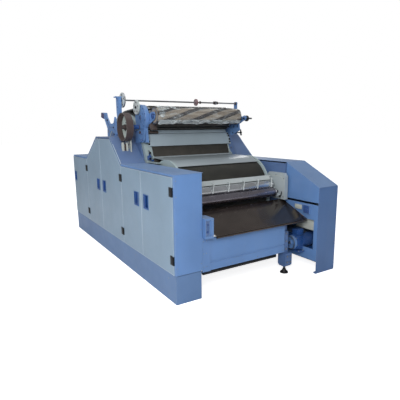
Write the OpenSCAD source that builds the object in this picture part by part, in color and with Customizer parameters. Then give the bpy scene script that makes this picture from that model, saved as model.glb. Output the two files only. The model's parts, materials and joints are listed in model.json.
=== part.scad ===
// Revolving-flat carding machine with side cabinets. Millimetres, +Z up.
// X = 0 is the machine's centre plane, -Y is the delivery (front) end, +Y the feed end.

/* [Overall] */
// Half of the overall width, over the cabinet door hinges
half_width = 898; // [800:1:1000]
// Half of the overall length, over the right front panel and the rear wall
half_length = 1643; // [1500:1:1800]
// Front face of the left cabinet
left_front = -1484; // [-1600:1:-1300]
// Inner faces of both cabinets, from the centre plane
cab_in = 628; // [600:1:680]
// Height of the cabinet roofs
roof_z = 1100; // [900:1:1300]
// Height of the tall hood over the cylinder drive
hood_z = 1374; // [1200:1:1600]
// Height of the plinth
plinth_z = 250; // [100:1:350]
// Height of the right cabinet at its low front edge
right_low_z = 880; // [700:1:1100]

/* [Cabinet seams along Y] */
// Seam between the front bay and the tall middle bay
seam_front = -313; // [-500:1:-100]
// Seam between the tall middle bay and the rear bay
seam_rear = 952; // [700:1:1200]
// Start of the flat top of the hood
hood_y0 = 2; // [-100:1:200]
// End of the flat top of the hood
hood_y1 = 491; // [300:1:700]
// Meeting line of the two front doors
meet_front = -824; // [-1000:1:-600]
// Meeting line of the two middle doors
meet_mid = 370; // [200:1:600]

/* [Doors] */
// Door thickness
door_t = 18; // [10:1:30]
// Distance of the outer door face from the centre plane
door_x = 892; // [800:1:1000]
// Bottom edge of the doors
door_z0 = 254; // [150:1:400]
// Top edge of the front and rear doors
door_z1 = 1077; // [900:1:1200]
// Width of a recessed door pull
pull_w = 112; // [60:1:160]
// Height of a recessed door pull
pull_h = 140; // [80:1:200]
// Height of the pull's centre
pull_z = 798; // [600:1:1000]
// Distance from a meeting line to the pull's centre
pull_off = 110; // [80:1:160]
// Hinge block height
hinge_h = 78; // [40:1:120]
// Radius of the hinge pins
pin_r = 4; // [3:0.1:6]

/* [Carding rollers] */
// Cylinder radius
cyl_r = 645; // [500:1:700]
// Cylinder axis along Y
cyl_y = 306; // [200:1:400]
// Cylinder axis height
cyl_z = 990; // [900:1:1100]
// Doffer radius
dof_r = 353; // [250:1:400]
// Doffer axis along Y
dof_y = -669; // [-800:1:-500]
// Doffer axis height
dof_z = 775; // [700:1:850]
// Half of the clothed width of the rollers
work_x = 508; // [400:1:550]
// Licker-in radius
lick_r = 125; // [100:1:160]
// Stripping roller radius
strip_r = 50; // [30:1:60]
// Lower web roller radius
web_r = 46; // [20:1:50]
// Feed roller radius
feed_r = 50; // [35:1:70]

/* [Flats and top gear] */
// Pitch of the flats along their chain
flat_pitch = 46; // [38:1:60]
// Width of one flat
flat_w = 38; // [30:1:44]
// Thickness of one flat
flat_t = 20; // [14:1:30]
// Back radius of the chain on the front carrier
car_r = 108; // [80:1:130]
// Back radius of the chain on the rear carrier
rear_r = 60; // [40:1:90]
// Spiral brush roller axis along Y
brush_y = -430; // [-500:1:-400]
// Spiral brush roller axis height
brush_z = 1591; // [1500:1:1700]
// Spiral brush roller radius over the bristles
brush_r = 94; // [60:1:96]
// Drive wheel axis along Y
wheel_y = -155; // [-250:1:-50]
// Drive wheel axis height
wheel_z = 1479; // [1400:1:1550]
// Drive wheel radius
wheel_r = 152; // [120:1:180]
// Upper cross shaft along Y
top_y = 20; // [-50:1:100]
// Upper cross shaft height
top_z = 1774; // [1700:1:1850]

/* [Front end] */
// Lower front edge of the web tray along Y
tray_y = -1520; // [-1600:1:-1450]
// Lower front edge of the web tray
tray_z = 545; // [450:1:600]
// Right end of the front apron panel
apron_x = 345; // [200:1:349]
// Delivery motor axis along Y
motor_y = -1400; // [-1450:1:-1350]
// Delivery motor axis height
motor_z = 290; // [260:1:320]

/* [Hidden] */
$fn = 64;
fit = 0.06;                       // running clearance of pins and shafts
gap = 1;                          // shadow gap between neighbouring sheets
sheet = 3;                        // cabinet sheet thickness
post_x = 871;                     // outer face of the cabinet posts
frame_x = 614;                    // outer face of the side frames
frame_t = 14;                     // side frame thickness
skirt_x = 888;                    // outer face of roof skirts and plinths
slope = (hood_z - roof_z) / (hood_y0 - seam_front);
back_slope = (hood_z - roof_z) / (seam_rear - hood_y1);
low_run = -1190;                  // where the right roof becomes level
strip_d = dof_r + strip_r + 0.8;
strip_y = dof_y - 0.9805 * strip_d;
strip_z = dof_z + 0.1965 * strip_d;
web_y = strip_y - 64;
web_z = strip_z - 74;
lick_y = cyl_y + 0.978 * (cyl_r + lick_r + 0.8);
lick_z = cyl_z - 0.208 * (cyl_r + lick_r + 0.8);
feed_y = lick_y + 0.94 * (lick_r + feed_r + 0.8);
feed_z = lick_z + 0.342 * (lick_r + feed_r + 0.8);
path_r = cyl_r + 1 + flat_t;      // back of the working flats
turn_a = 130.8;                   // direction of the front carrier from the cylinder
rear_a = 38;                      // direction of the rear carrier from the cylinder
car_y = cyl_y + (path_r + car_r) * cos(turn_a);
car_z = cyl_z + (path_r + car_r) * sin(turn_a);
rcar_y = cyl_y + (path_r + rear_r) * cos(rear_a);
rcar_z = cyl_z + (path_r + rear_r) * sin(rear_a);
ret_r = path_r + 4;               // back of the returning flats
ret_a = turn_a - acos((ret_r - car_r) / (path_r + car_r));
end_a = rear_a + acos((ret_r - rear_r) / (path_r + rear_r));
disc_y = -135;                    // axis of the light side disc
disc_z = 1690;
nut_y = -330;                     // axis of the wing nut
nut_z = 1402;
main_y = 1290;                    // main motor axis
main_z = 420;
wall_y = -1190;                   // front end of the side frames

blue = [0.40, 0.53, 0.74];
dark_blue = [0.27, 0.38, 0.60];
door_grey = [0.56, 0.65, 0.71];
cream = [0.80, 0.81, 0.74];
steel = [0.72, 0.74, 0.76];
wire = [0.22, 0.20, 0.18];
black = [0.10, 0.10, 0.11];
brown = [0.36, 0.28, 0.26];
rust = [0.62, 0.52, 0.42];

// ---- helpers ----

// box between two corners
module box(x0, x1, y0, y1, z0, z1) {
    translate([x0, y0, z0]) cube([x1 - x0, y1 - y0, z1 - z0]);
}

// rod or disc along X
module rod(x0, x1, y, z, r) {
    translate([x0, y, z]) rotate([0, 90, 0]) cylinder(h = x1 - x0, r = r);
}

// plate cut to a Y-Z outline
module plate(x0, x1) {
    translate([x0, 0, 0]) rotate([90, 0, 90]) linear_extrude(x1 - x0) children();
}

// straight bar in the Y-Z plane, from one point to another
module bar(x0, x1, a, b, t) {
    d = b - a;
    translate([x0, a[0], a[1]]) rotate([atan2(d[1], d[0]), 0, 0])
        cube([x1 - x0, norm(d), t]);
}

// ring sector, flat
module arc_2d(c, r0, r1, a0, a1, n = 24) {
    step = (a1 - a0) / n;
    translate(c) polygon(concat(
        [for (i = [0:n]) r0 * [cos(a0 + step * i), sin(a0 + step * i)]],
        [for (i = [n:-1:0]) r1 * [cos(a0 + step * i), sin(a0 + step * i)]]));
}

// ring sector about an axis along X
module arc_sheet(x0, x1, c, r0, r1, a0, a1, n = 24) {
    plate(x0, x1) arc_2d(c, r0, r1, a0, a1, n);
}

// flat belt round two pulleys
module belt(x0, x1, c0, r0, c1, r1, t = 4) {
    plate(x0, x1) difference() {
        hull() { translate(c0) circle(r0 + t); translate(c1) circle(r1 + t); }
        hull() { translate(c0) circle(r0 + 0.5); translate(c1) circle(r1 + 0.5); }
    }
}

// straight strip centred on the line between two points
module strand(x0, x1, a, b, t) {
    d = b - a;
    translate([x0, a[0], a[1]]) rotate([atan2(d[1], d[0]), 0, 0])
        translate([0, 0.6, -t / 2]) cube([x1 - x0, norm(d) - 1.2, t]);
}

// crossed flat belt: two wraps, and two half-width strands that pass each other
module crossed_belt(x0, x1, c0, r0, c1, r1, t = 4) {
    p = r0 + 0.5 + t / 2;
    q = r1 + 0.5 + t / 2;
    d = c1 - c0;
    base = atan2(d[1], d[0]);
    tip = acos((p + q) / norm(d));
    mid = (x0 + x1) / 2;
    arc_sheet(x0, x1, c0, p - t / 2, p + t / 2, base + tip, base + 360 - tip, 31);
    arc_sheet(x0, x1, c1, q - t / 2, q + t / 2, base + 180 + tip, base + 540 - tip, 23);
    for (s = [-1, 1])
        strand(s < 0 ? x0 : mid + 0.4, s < 0 ? mid - 0.4 : x1,
            c0 + p * [cos(base + s * tip), sin(base + s * tip)],
            c1 + q * [cos(base + 180 + s * tip), sin(base + 180 + s * tip)], t);
}

// both sides of the machine
module both() {
    children();
    mirror([1, 0, 0]) children();
}

// ---- frame ----

module frame_outline() {
    polygon([[wall_y, 150], [-950, 150], [-950, 0], [-850, 0], [-850, 150], [1350, 150], [1350, 0],
        [1450, 0], [1450, 150], [1600, 150], [1600, 1085], [seam_rear, 1085],
        [hood_y1, hood_z - 18], [hood_y0, hood_z - 18], [seam_front, 1085], [wall_y, 1085]]);
}

// cast side walls that carry every roller bearing
module side_frames() {
    color(blue) both() difference() {
        plate(frame_x - frame_t, frame_x) {
            frame_outline();
            translate([cyl_y, cyl_z]) circle(589);
        }
        rod(590, 620, cyl_y, cyl_z, 55 + fit);
        rod(590, 620, dof_y, dof_z, 40 + fit);
        rod(590, 620, lick_y, lick_z, 30 + fit);
        rod(590, 620, strip_y, strip_z, 16 + fit);
        rod(590, 620, web_y, web_z, 14 + fit);
        rod(590, 620, feed_y, feed_z, 20 + fit);
    }
}

// tubes that tie the side frames together, with the front leg
module cross_rails() {
    in_x = frame_x - frame_t;
    color(blue) {
        box(-in_x, in_x, -1150, -1070, 200, 280);
        box(-in_x, in_x, 266, 346, 160, 240);
        box(-in_x, in_x, 1500, 1580, 200, 280);
        box(-in_x, in_x, 1520, 1580, 640, 700);
        box(-cab_in + 4, 404, -1436, -1376, 440, 500);
        // front leg: chamfered lower block and slim upper post
        plate(340, 425) polygon([[-1478, 82], [-1405, 82], [-1388, 99], [-1388, 220], [-1498, 220],
            [-1498, 102]]);
        box(352, 400, -1462, -1420, 220, 439);
    }
}

module cabinet_posts(ys) {
    for (y = ys) box(-post_x, -post_x + 40, y, y + 40, plinth_z + 2, door_z1 + 4);
}

module cabinet_roof(y0, y1) {
    box(-skirt_x, -frame_x - 1, y0, y1, roof_z - sheet, roof_z);
    box(-skirt_x, -skirt_x + sheet, y0 + 4, y1, door_z1 + 3, roof_z - sheet - 0.5);
}

// posts, roofs and walls of the left cabinet
module cabinet_left() {
    color(blue) {
        cabinet_posts([left_front + 10, seam_front - 20, seam_rear - 20, half_length - 45]);
        cabinet_roof(left_front + gap, seam_front - gap);
        cabinet_roof(seam_rear + gap, half_length);
        box(-cab_in, -cab_in + sheet, left_front + 10, wall_y - gap, plinth_z + 2, door_z1 + 18);
        box(-post_x + 42, -frame_x - gap, half_length - sheet, half_length, plinth_z + 2, door_z1 + 18);
        box(-post_x + 42, -frame_x - gap, left_front + 52, half_length - 50, plinth_z + 4, plinth_z + 8);
    }
}

// posts, roofs and walls of the right cabinet, with the open motor bay
module cabinet_right() {
    color(dark_blue) mirror([1, 0, 0]) {
        cabinet_posts([seam_front - 20, seam_rear - 20, half_length - 45]);
        box(-post_x, -post_x + 40, -half_length + 8, -half_length + 46, 20, right_low_z - 22);
        cabinet_roof(low_run + gap, seam_front - gap);
        cabinet_roof(seam_rear + gap, half_length);
        bar(-skirt_x, -617, [-half_length + 1.5, right_low_z - sheet], [low_run, roof_z - sheet], sheet);
        bar(-skirt_x, -skirt_x + sheet, [-half_length + 14, right_low_z - 19], [low_run - 4, door_z1 + 3], 14);
        box(-post_x + 42, -frame_x - gap, half_length - sheet, half_length, plinth_z + 2, door_z1 + 18);
        box(-post_x + 42, -frame_x - gap, wall_y + gap, half_length - 50, plinth_z + 4, plinth_z + 8);
        // inner wall: upper panel, sill under the slot, set-back panel, frame of the bay
        plate(-620, -617) polygon([[-1638, 724], [wall_y - gap, 724], [wall_y - gap, 1095.7],
            [-1638, right_low_z - 2.1]]);
        box(-620, -617, -1638, wall_y - gap, 547, 702);
        box(-620, -617, -1638, -1592, 248, 546);
        box(-620, -617, -1208, wall_y - gap, 248, 546);
        box(-620, -617, -1638, wall_y - gap, 128, 247);
        // small sensor boxes on the set-back panel
        box(-616.5, -606, -1442, -1339, 629, 684);
        box(-616.5, -602, -1543, -1457, 600, 690);
    }
}

// tall hood over the drive, four bent sheets with skirts that follow the doors
module hood() {
    s = sheet;
    lift = [0, -s];
    bar(-skirt_x, -frame_x - gap, [seam_front + 2, roof_z] + lift, [hood_y0 - gap, hood_z] + lift, s);
    box(-skirt_x, -frame_x - gap, hood_y0 + 1, hood_y1 - 1, hood_z - s, hood_z);
    bar(-skirt_x, -frame_x - gap, [hood_y1 + gap, hood_z] + lift, [seam_rear - 2, roof_z] + lift, s);
    bar(-skirt_x, -skirt_x + s, [seam_front + 14, door_z1 + 15], [hood_y0 + 6, 1356], 13);
    box(-skirt_x, -skirt_x + s, hood_y0 + 10, hood_y1 - 10, 1356, hood_z - s - 0.5);
    bar(-skirt_x, -skirt_x + s, [hood_y1 - 6, 1356], [seam_rear - 14, door_z1 + 15], 13);
}

module hoods() { color(blue) both() hood(); }

// narrow front wall of the left cabinet, with its folded inner edge
module front_panel_left() {
    color(blue) {
        box(-skirt_x, -cab_in, left_front, left_front + 4, plinth_z + 4, roof_z - 4);
        box(-skirt_x, -skirt_x + sheet, left_front + 5, left_front + 23, plinth_z + 4, door_z1 + 2);
        box(-cab_in - sheet, -cab_in, left_front + 4.5, left_front + 9.5, plinth_z + 4, roof_z - 4);
    }
}

// front wall of the right cabinet, down to a small toe lip at the floor
module front_panel_right() {
    color(dark_blue) {
        box(617, skirt_x, -half_length, -half_length + 4, 16, right_low_z - 4);
        box(617, skirt_x, -half_length, -half_length + 30, 0, 15);
        box(skirt_x - sheet, skirt_x, -half_length + 5, -half_length + 28, 16, right_low_z - 24);
    }
}

// plinth boxes that carry the cabinets on the floor
module plinths() {
    color(blue) {
        for (s = [0, 1]) mirror([s, 0, 0]) {
            y0 = s == 0 ? left_front + 5 : -half_length + 31;
            box(-skirt_x, -skirt_x + 4, y0, half_length - 6, 0, plinth_z);
            box(-skirt_x + 5, -frame_x - 2, half_length - 10, half_length - 6, 0, plinth_z);
            for (y = [seam_front - 20, seam_rear - 20, half_length - 60])
                box(-post_x, -frame_x - 2, y, y + 40, 0, plinth_z);
        }
        box(-skirt_x, -cab_in - 12, left_front, left_front + 4, 0, plinth_z);
        box(-skirt_x + 5, -cab_in - 20, left_front + 10, left_front + 50, 0, plinth_z);
        box(-cab_in - 4, -cab_in, left_front + 20, wall_y - gap, 0, plinth_z);
    }
}

// ---- doors and hinges ----

// one black hinge block with its bores; ys lists the pin lines from the block's first edge
module hinge_block(y0, y1, ys, z) {
    difference() {
        box(-half_width, -post_x - 0.5, y0, y1, z - hinge_h / 2, z + hinge_h / 2);
        for (y = ys) translate([-door_x + 0.5, y, z - hinge_h]) cylinder(h = 2 * hinge_h, r = pin_r + fit);
    }
}

module hinges() {
    color(black) {
        for (z = [380, 956]) {
            hinge_block(-1459, -1405, [-1450], z);
            both() {
                hinge_block(seam_front - 17, seam_front + 50, [seam_front - 9, seam_front + 9], z);
                hinge_block(seam_rear - 17, seam_rear + 50, [seam_rear - 9, seam_rear + 9], z);
            }
        }
        for (z = [380, 800]) mirror([1, 0, 0]) hinge_block(-1614, -1560, [-1605], z);
    }
}

// door leaf: outline minus hinge notches and the hole for its pull, plus pins and lugs
module leaf(pin_y, near, far, pull_y, zs = [380, 956]) {
    difference() {
        plate(-door_x, -door_x + door_t) children();
        for (z = zs) box(-door_x - 1, -post_x, near, far, z - hinge_h / 2 - 0.5, z + hinge_h / 2 + 0.5);
        box(-door_x - 1, -post_x, pull_y - pull_w / 2, pull_y + pull_w / 2,
            pull_z - pull_h / 2, pull_z + pull_h / 2);
    }
    for (z = zs) {
        translate([-door_x + 0.5, pin_y, z - hinge_h / 2 - 8]) cylinder(h = hinge_h + 16, r = pin_r);
        for (e = [-hinge_h / 2 - 8, hinge_h / 2 + 1])
            translate([-door_x - 4, pin_y - 5, z + e]) cube([10, 10, 7]);
    }
}

// recessed pull: a shallow tray with a rim and a grip lip, in its door's opening
module pull(y, dir) {
    w = pull_w / 2 - 0.5;
    h = pull_h / 2 - 0.5;
    x0 = -door_x - 1.5;
    x1 = -door_x + door_t - 1;
    box(x1 - 2, x1, y - w, y + w, pull_z - h, pull_z + h);
    box(x0, x1 - 2.2, y - w, y + w, pull_z + h - 9, pull_z + h);
    box(x0, x1 - 2.2, y - w, y + w, pull_z - h, pull_z - h + 16);
    box(x0, x1 - 2.2, y - w, y - w + (dir > 0 ? 9 : 34), pull_z - h + 16.2, pull_z + h - 9.2);
    box(x0, x1 - 2.2, y + w - (dir > 0 ? 34 : 9), y + w, pull_z - h + 16.2, pull_z + h - 9.2);
}

module leaf_1() {
    leaf(-1450, -1460, -1404, meet_front - pull_off)
        polygon([[-1459, door_z0], [meet_front - 2, door_z0], [meet_front - 2, door_z1], [-1459, door_z1]]);
}

module leaf_2() {
    leaf(seam_front - 9, seam_front - 21, seam_front, meet_front + pull_off)
        polygon([[meet_front + 2, door_z0], [seam_front - 3, door_z0], [seam_front - 3, door_z1],
            [meet_front + 2, door_z1]]);
}

module leaf_3() {
    leaf(seam_front + 9, seam_front, seam_front + 51, meet_mid - pull_off)
        polygon([[seam_front + 3, door_z0], [meet_mid - 2, door_z0], [meet_mid - 2, 1352], [14, 1352],
            [seam_front + 3, door_z1]]);
}

module leaf_4() {
    leaf(seam_rear - 9, seam_rear - 21, seam_rear, meet_mid + pull_off)
        polygon([[meet_mid + 2, door_z0], [seam_rear - 3, door_z0], [seam_rear - 3, door_z1], [479, 1352],
            [meet_mid + 2, 1352]]);
}

module leaf_5() {
    leaf(seam_rear + 9, seam_rear, seam_rear + 51, half_length - 75)
        polygon([[seam_rear + 3, door_z0], [half_length - 3, door_z0], [half_length - 3, door_z1],
            [seam_rear + 3, door_z1]]);
}

module right_leaf_1() {
    leaf(-1605, -1615, -1559, meet_front - pull_off, [380, 800])
        polygon([[-1614, door_z0], [meet_front - 2, door_z0], [meet_front - 2, door_z1],
            [low_run, door_z1], [-1614, right_low_z - 14]]);
}

module door_l1() { color(door_grey) { leaf_1(); } }
module door_l2() { color(door_grey) { leaf_2(); } }
module door_l3() { color(door_grey) { leaf_3(); } }
module door_l4() { color(door_grey) { leaf_4(); } }
module door_l5() { color(door_grey) { leaf_5(); } }

module pull_l1() { color(dark_blue) { pull(meet_front - pull_off, 1); } }
module pull_l2() { color(dark_blue) { pull(meet_front + pull_off, -1); } }
module pull_l3() { color(dark_blue) { pull(meet_mid - pull_off, 1); } }
module pull_l4() { color(dark_blue) { pull(meet_mid + pull_off, -1); } }
module pull_l5() { color(dark_blue) { pull(half_length - 75, 1); } }

module door_r1() { color(door_grey) mirror([1, 0, 0]) { right_leaf_1(); pull(meet_front - pull_off, 1); } }
module door_r2() { color(door_grey) mirror([1, 0, 0]) { leaf_2(); pull(meet_front + pull_off, -1); } }
module door_r3() { color(door_grey) mirror([1, 0, 0]) { leaf_3(); pull(meet_mid - pull_off, 1); } }
module door_r4() { color(door_grey) mirror([1, 0, 0]) { leaf_4(); pull(meet_mid + pull_off, -1); } }
module door_r5() { color(door_grey) mirror([1, 0, 0]) { leaf_5(); pull(half_length - 75, 1); } }

// ---- covers round the rollers ----

// cream arches beside the cylinder and end shields beside the doffer
module bends() {
    c = [cyl_y, cyl_z];
    d = [dof_y, dof_z];
    color(cream) {
        both() {
            for (a = [8 : 26 : 138])
                arc_sheet(-598, -513, c, 590, cyl_r - 1, a, a + 25.8, 8);
            arc_sheet(-598, -513, c, 590, cyl_r - 1, 164, 176, 4);
            // ears that hold the doffer cover's pins
            difference() {
                plate(-531, -515) polygon([[-345, 1166], [-322, 1172], [-284, 1236], [-300, 1196],
                    [-322, 1138], [-345, 1140]]);
                rod(-540, -510, -332, 1153, 5 + fit);
                plate(-540, -510) translate(c) circle(cyl_r);
            }
            difference() {
                rod(-535, -514, dof_y, dof_z, 372);
                rod(-540, -510, dof_y, dof_z, 44);
                plate(-540, -510) translate(c) circle(cyl_r + 6);
                plate(-540, -510) translate([strip_y, strip_z]) circle(24);
            }
        }
        // strip that closes the gap behind the left end of the doffer
        box(-597.5, -537, -560, -346, 1104, 1110);
        // cap strip with two round covers, over the right end of the doffer
        box(538, 598, -640, -400, 1118, 1126);
        rod_up(567, -470, 1126, 30, 7);
        rod_up(567, -560, 1126, 30, 7);
    }
}

module rod_up(x, y, z, r, h) {
    translate([x, y, z]) cylinder(h = h, r = r);
}

// one flat, back side down, at a point of the chain with its outward direction
module one_flat(c, r, a) {
    translate([0, c[0] + r * cos(a), c[1] + r * sin(a)]) rotate([a - 90, 0, 0])
        translate([-545, -flat_w / 2, 0]) cube([1090, flat_w, flat_t]);
}

// flats on a round stretch
module round_run(c, r, a0, a1, n) {
    for (i = [0:n - 1]) one_flat(c, r, a0 + (a1 - a0) * (i + 0.5) / n);
}

// flats on a straight stretch between two tangent points
module straight_run(p, q, n) {
    d = (q - p) / norm(q - p);
    a = atan2(d[1], d[0]) + 90;
    for (i = [0:n - 1]) one_flat(p + (q - p) * (i + 0.5) / n, 0, a);
}

// revolving flats: working run on the cylinder, returning run just above it
module flats() {
    c = [cyl_y, cyl_z];
    f = [car_y, car_z];
    r = [rcar_y, rcar_z];
    color(wire) {
        for (i = [0:21]) one_flat_in(c, path_r, rear_a + 2 + (turn_a - rear_a - 4) * (i + 0.5) / 22);
        round_run(f, car_r + 1, turn_a + 180 - 10, ret_a + 6, 9);
        straight_run(f + (car_r + 1) * [cos(ret_a), sin(ret_a)], c + ret_r * [cos(ret_a), sin(ret_a)], 11);
        round_run(c, ret_r, ret_a - 2, end_a + 2, 3);
        straight_run(c + ret_r * [cos(end_a), sin(end_a)], r + (rear_r + 1) * [cos(end_a), sin(end_a)], 8);
        round_run(r, rear_r + 1, end_a - 16, rear_a - 180 + 22, 4);
    }
}

// working flat: back side up, clothing towards the cylinder
module one_flat_in(c, r, a) {
    one_flat(c, r - flat_t, a);
}

// grey plates that close the gap between the front carrier and the cylinder, with bolted tabs
module front_plates() {
    low = [-287.6, 1269.4];
    high = [-226, 1401];
    color(steel) {
        bar(-528, 528, low, high, 6);
        bar(-522, 522, [-224, 1406], [-213, 1440], 5);
        both() bar(-552, -529, low, high, 6);
    }
    color(black) both() for (t = [0.38, 0.68])
        translate(concat([-541], low + t * (high - low) + [-5.6, 2.6])) rotate([65, 0, 0])
            cylinder(h = 9, r = 9);
}

// sheet casings close round the rollers: rear covers above, undercasings below
module casings() {
    c = [cyl_y, cyl_z];
    k = [lick_y, lick_z];
    color(cream) {
        arc_sheet(-510, 510, c, cyl_r + 8, cyl_r + 13, 6, 30, 12);
        arc_sheet(-510, 510, k, lick_r + 8, lick_r + 13, 40, 118, 12);
        arc_sheet(-505, 505, c, cyl_r + 8, cyl_r + 11, 214, 250, 12);
        arc_sheet(-505, 505, c, cyl_r + 8, cyl_r + 11, 250.4, 290, 12);
        arc_sheet(-505, 505, c, cyl_r + 8, cyl_r + 11, 290.4, 330, 12);
        arc_sheet(-505, 505, k, lick_r + 8, lick_r + 11, 215, 330, 12);
    }
}

// white bar with slanted hooks in front of the stripping roller
module guard_bar() {
    color(cream) {
        box(-511, 511, strip_y + 2, strip_y + 10, 910, 956);
        box(-511, 511, strip_y - 6, strip_y + 1.5, 910, 916);
        for (x = [-440 : 186 : 490]) {
            box(x - 4, x + 4, strip_y - 46, strip_y - 7, 926, 934);
            multmatrix([[1, 0, 0.3, -0.3 * 930], [0, 1, 0, 0], [0, 0, 1, 0]])
                bar(x - 3.5, x + 3.5, [strip_y - 63, strip_z - 16], [strip_y - 42, 930], 7);
        }
    }
}

// polished brown delivery tray with a clipped left corner and a rolled front edge
module web_tray() {
    color(brown) {
        translate([0, tray_y, tray_z]) rotate([23.2, 0, 0]) linear_extrude(4)
            polygon([[-500, 0], [598, 0], [598, 394], [-538, 394], [-538, 60]]);
        rod(-500, 598, tray_y + 8, tray_z - 12, 10);
    }
}

// blue bearing bracket at the tray's left end
module tray_bracket() {
    color(blue) difference() {
        plate(-625, -541) polygon([[-1530, 541], [-1440, 541], [-1390, 660], [-1390, 715], [-1530, 715]]);
        box(-621, -563, -1531, -1518, 560, 700);
    }
    color(blue) box(-625, -543, -1479, -1469, 232, 540);
}

// apron panel below the tray, with its shadow groove and folded lower edge
module apron_panel() {
    color(blue) {
        box(-600, apron_x, -1468, -1462, 318, 525);
        box(-600, apron_x, -1462, -1456, 296, 330);
        box(-600, apron_x, -1468, -1462, 232, 300);
        box(-600, apron_x, -1460, -1437, 232, 238);
    }
}

module bottom_pipe() {
    color(black) rod(-600, 252, -1438, 210, 20);
}

// feed plate at the rear, under the feed roller
module feed_table() {
    color(steel) {
        bar(-505, 505, [feed_y - 12, feed_z - feed_r - 10], [half_length - 30, feed_z - feed_r - 10], 8);
        for (x = [-505, 495]) box(x, x + 10, feed_y + 70, half_length - 30, feed_z - feed_r - 1, feed_z + 20);
        box(-505, 505, half_length - 29, half_length - 20, feed_z - feed_r - 60, feed_z - feed_r - 2);
    }
}

// ---- top gear carried above the cylinder ----

// blue drive casing at the left end of the front carrier, and bearing plates of both carriers
module flats_casing() {
    color(blue) {
        difference() {
            union() {
                rod(-596, -556, car_y, car_z, 141);
                plate(-596, -556) polygon([[car_y - 90, car_z - 100], [car_y + 90, car_z - 100],
                    [car_y + 90, car_z - 180], [car_y - 40, car_z - 262], [car_y - 118, car_z - 262]]);
                rod(-596, -570, disc_y, disc_z, 26);
            }
            rod(-600, -550, car_y, car_z, 24 + fit);
            rod(-600, -550, wheel_y, wheel_z, 22 + fit);
            rod(-600, -550, cyl_y, cyl_z, cyl_r + 1);
        }
        rod(-620, -596.5, disc_y, disc_z, 12);
        // foot plate outside the arch, with its spacer
        plate(-622, -616) polygon([[-100, 1440], [-340, 1447], [-345, 1340], [-300, 1316], [-103, 1308]]);
        box(-615.9, -596.1, -325, -270, 1398, 1444);
        difference() {
            plate(-596, -580) polygon([[rcar_y - 60, rcar_z - 90], [rcar_y + 50, rcar_z - 90],
                [rcar_y + 40, rcar_z + 40], [rcar_y - 40, rcar_z + 40]]);
            rod(-600, -550, rcar_y, rcar_z, 18 + fit);
            rod(-600, -550, cyl_y, cyl_z, cyl_r + 1);
        }
    }
}

// blue brackets: brush bearings, right carrier plate, shaft stands and the lever's foot
module top_brackets() {
    color(blue) {
        // left brush arm
        difference() {
            plate(-553, -547) polygon([[-470, 1574], [-446, 1550], [-330, 1508], [-270, 1500],
                [-250, 1560], [-290, 1610], [-400, 1632], [-454, 1632], [-474, 1606]]);
            rod(-560, -540, brush_y, brush_z, 14 + fit);
        }
        // right carrier and brush plate
        difference() {
            plate(556, 572) polygon([[-455, 1432], [-440, 1504], [-520, 1540], [-560, 1548], [-580, 1580],
                [-545, 1600], [-480, 1580], [brush_y - 20, brush_z + 36], [brush_y + 30, brush_z + 30],
                [-150, 1640], [-120, 1508], [-200, 1400], [-300, 1371]]);
            rod(550, 580, brush_y, brush_z, 14 + fit);
            rod(550, 580, car_y, car_z, 24 + fit);
            rod(550, 580, -552, 1566, 9 + fit);
            rod(550, 580, nut_y, nut_z, 8 + fit);
        }
        difference() {
            plate(580, 596) polygon([[rcar_y - 60, rcar_z - 90], [rcar_y + 50, rcar_z - 90],
                [rcar_y + 40, rcar_z + 40], [rcar_y - 40, rcar_z + 40]]);
            rod(570, 600, rcar_y, rcar_z, 18 + fit);
            rod(570, 600, cyl_y, cyl_z, cyl_r + 1);
        }
        // stands of the upper cross shaft on both hoods
        difference() {
            plate(-764, -726) polygon([[top_y - 14, hood_z + 2], [top_y + 34, hood_z + 2],
                [top_y + 48, 1620], [top_y + 48, top_z + 26], [top_y - 14, top_z + 26]]);
            rod(-770, -720, top_y, top_z, 9 + fit);
        }
        box(-790, -720, top_y - 14, top_y + 54, top_z + 26.3, top_z + 38);
        box(-780, -700, top_y - 14, top_y + 64, hood_z + 0.3, hood_z + 1.7);
        difference() {
            box(862, 878, top_y - 14, top_y + 40, hood_z + 1, top_z + 20);
            rod(860, 880, top_y, top_z, 9 + fit);
        }
        // foot of the lever
        difference() {
            plate(-790, -782) polygon([[60, hood_z + 1], [124, hood_z + 1], [110, 1424], [74, 1424]]);
            rod(-795, -775, 92, 1404, 7 + fit);
        }
    }
}

// cream post that holds the outer bearing of the drive wheel
module wheel_post() {
    color(cream) difference() {
        plate(-718, -704) polygon([[wheel_y - 30, 1214], [wheel_y + 30, 1267], [wheel_y + 30, wheel_z + 26],
            [wheel_y - 30, wheel_z + 26]]);
        rod(-730, -690, wheel_y, wheel_z, 22 + fit);
    }
}

// ---- delivery drive in the right cabinet ----

module gear_cover() {
    o = [[-1238, 707], [-962, 707], [-962, 950], [-990, 985], [-1210, 985], [-1238, 950]];
    color(cream) difference() {
        plate(556, 598) polygon(o);
        plate(560, 599) offset(delta = -5) polygon(o);
        rod(550, 562, strip_y, strip_z, 19);
        rod(550, 562, web_y, web_z, 17);
    }
    color(black) {
        rod(534, 555.5, -1160, 752, 9);
        rod(520, 533.5, -1160, 752, 18);
    }
}

// geared motor on its shelf in the bay
module delivery_motor() {
    color(blue) {
        difference() {
            rod(528, 548, motor_y, motor_z, 82);
            rod(500, 560, motor_y, motor_z, 16 + fit);
        }
        difference() {
            box(549, 616, motor_y - 62, motor_y + 62, motor_z - 66, motor_z + 66);
            rod(500, 640, motor_y, motor_z, 16 + fit);
        }
        rod(621, 824, motor_y, motor_z, 62);
        for (x = [632 : 16 : 808]) rod(x, x + 4, motor_y, motor_z, 72);
        box(560, 640, motor_y - 40, motor_y + 40, motor_z + 74, motor_z + 132);
        box(528, 616, motor_y - 90, motor_y + 110, motor_z - 92, motor_z - 83);
        box(622, 826, motor_y - 90, motor_y + 110, motor_z - 92, motor_z - 83);
        box(528, 640, motor_y + 92, motor_y + 150, motor_z - 40, motor_z + 60);
    }
}

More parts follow.
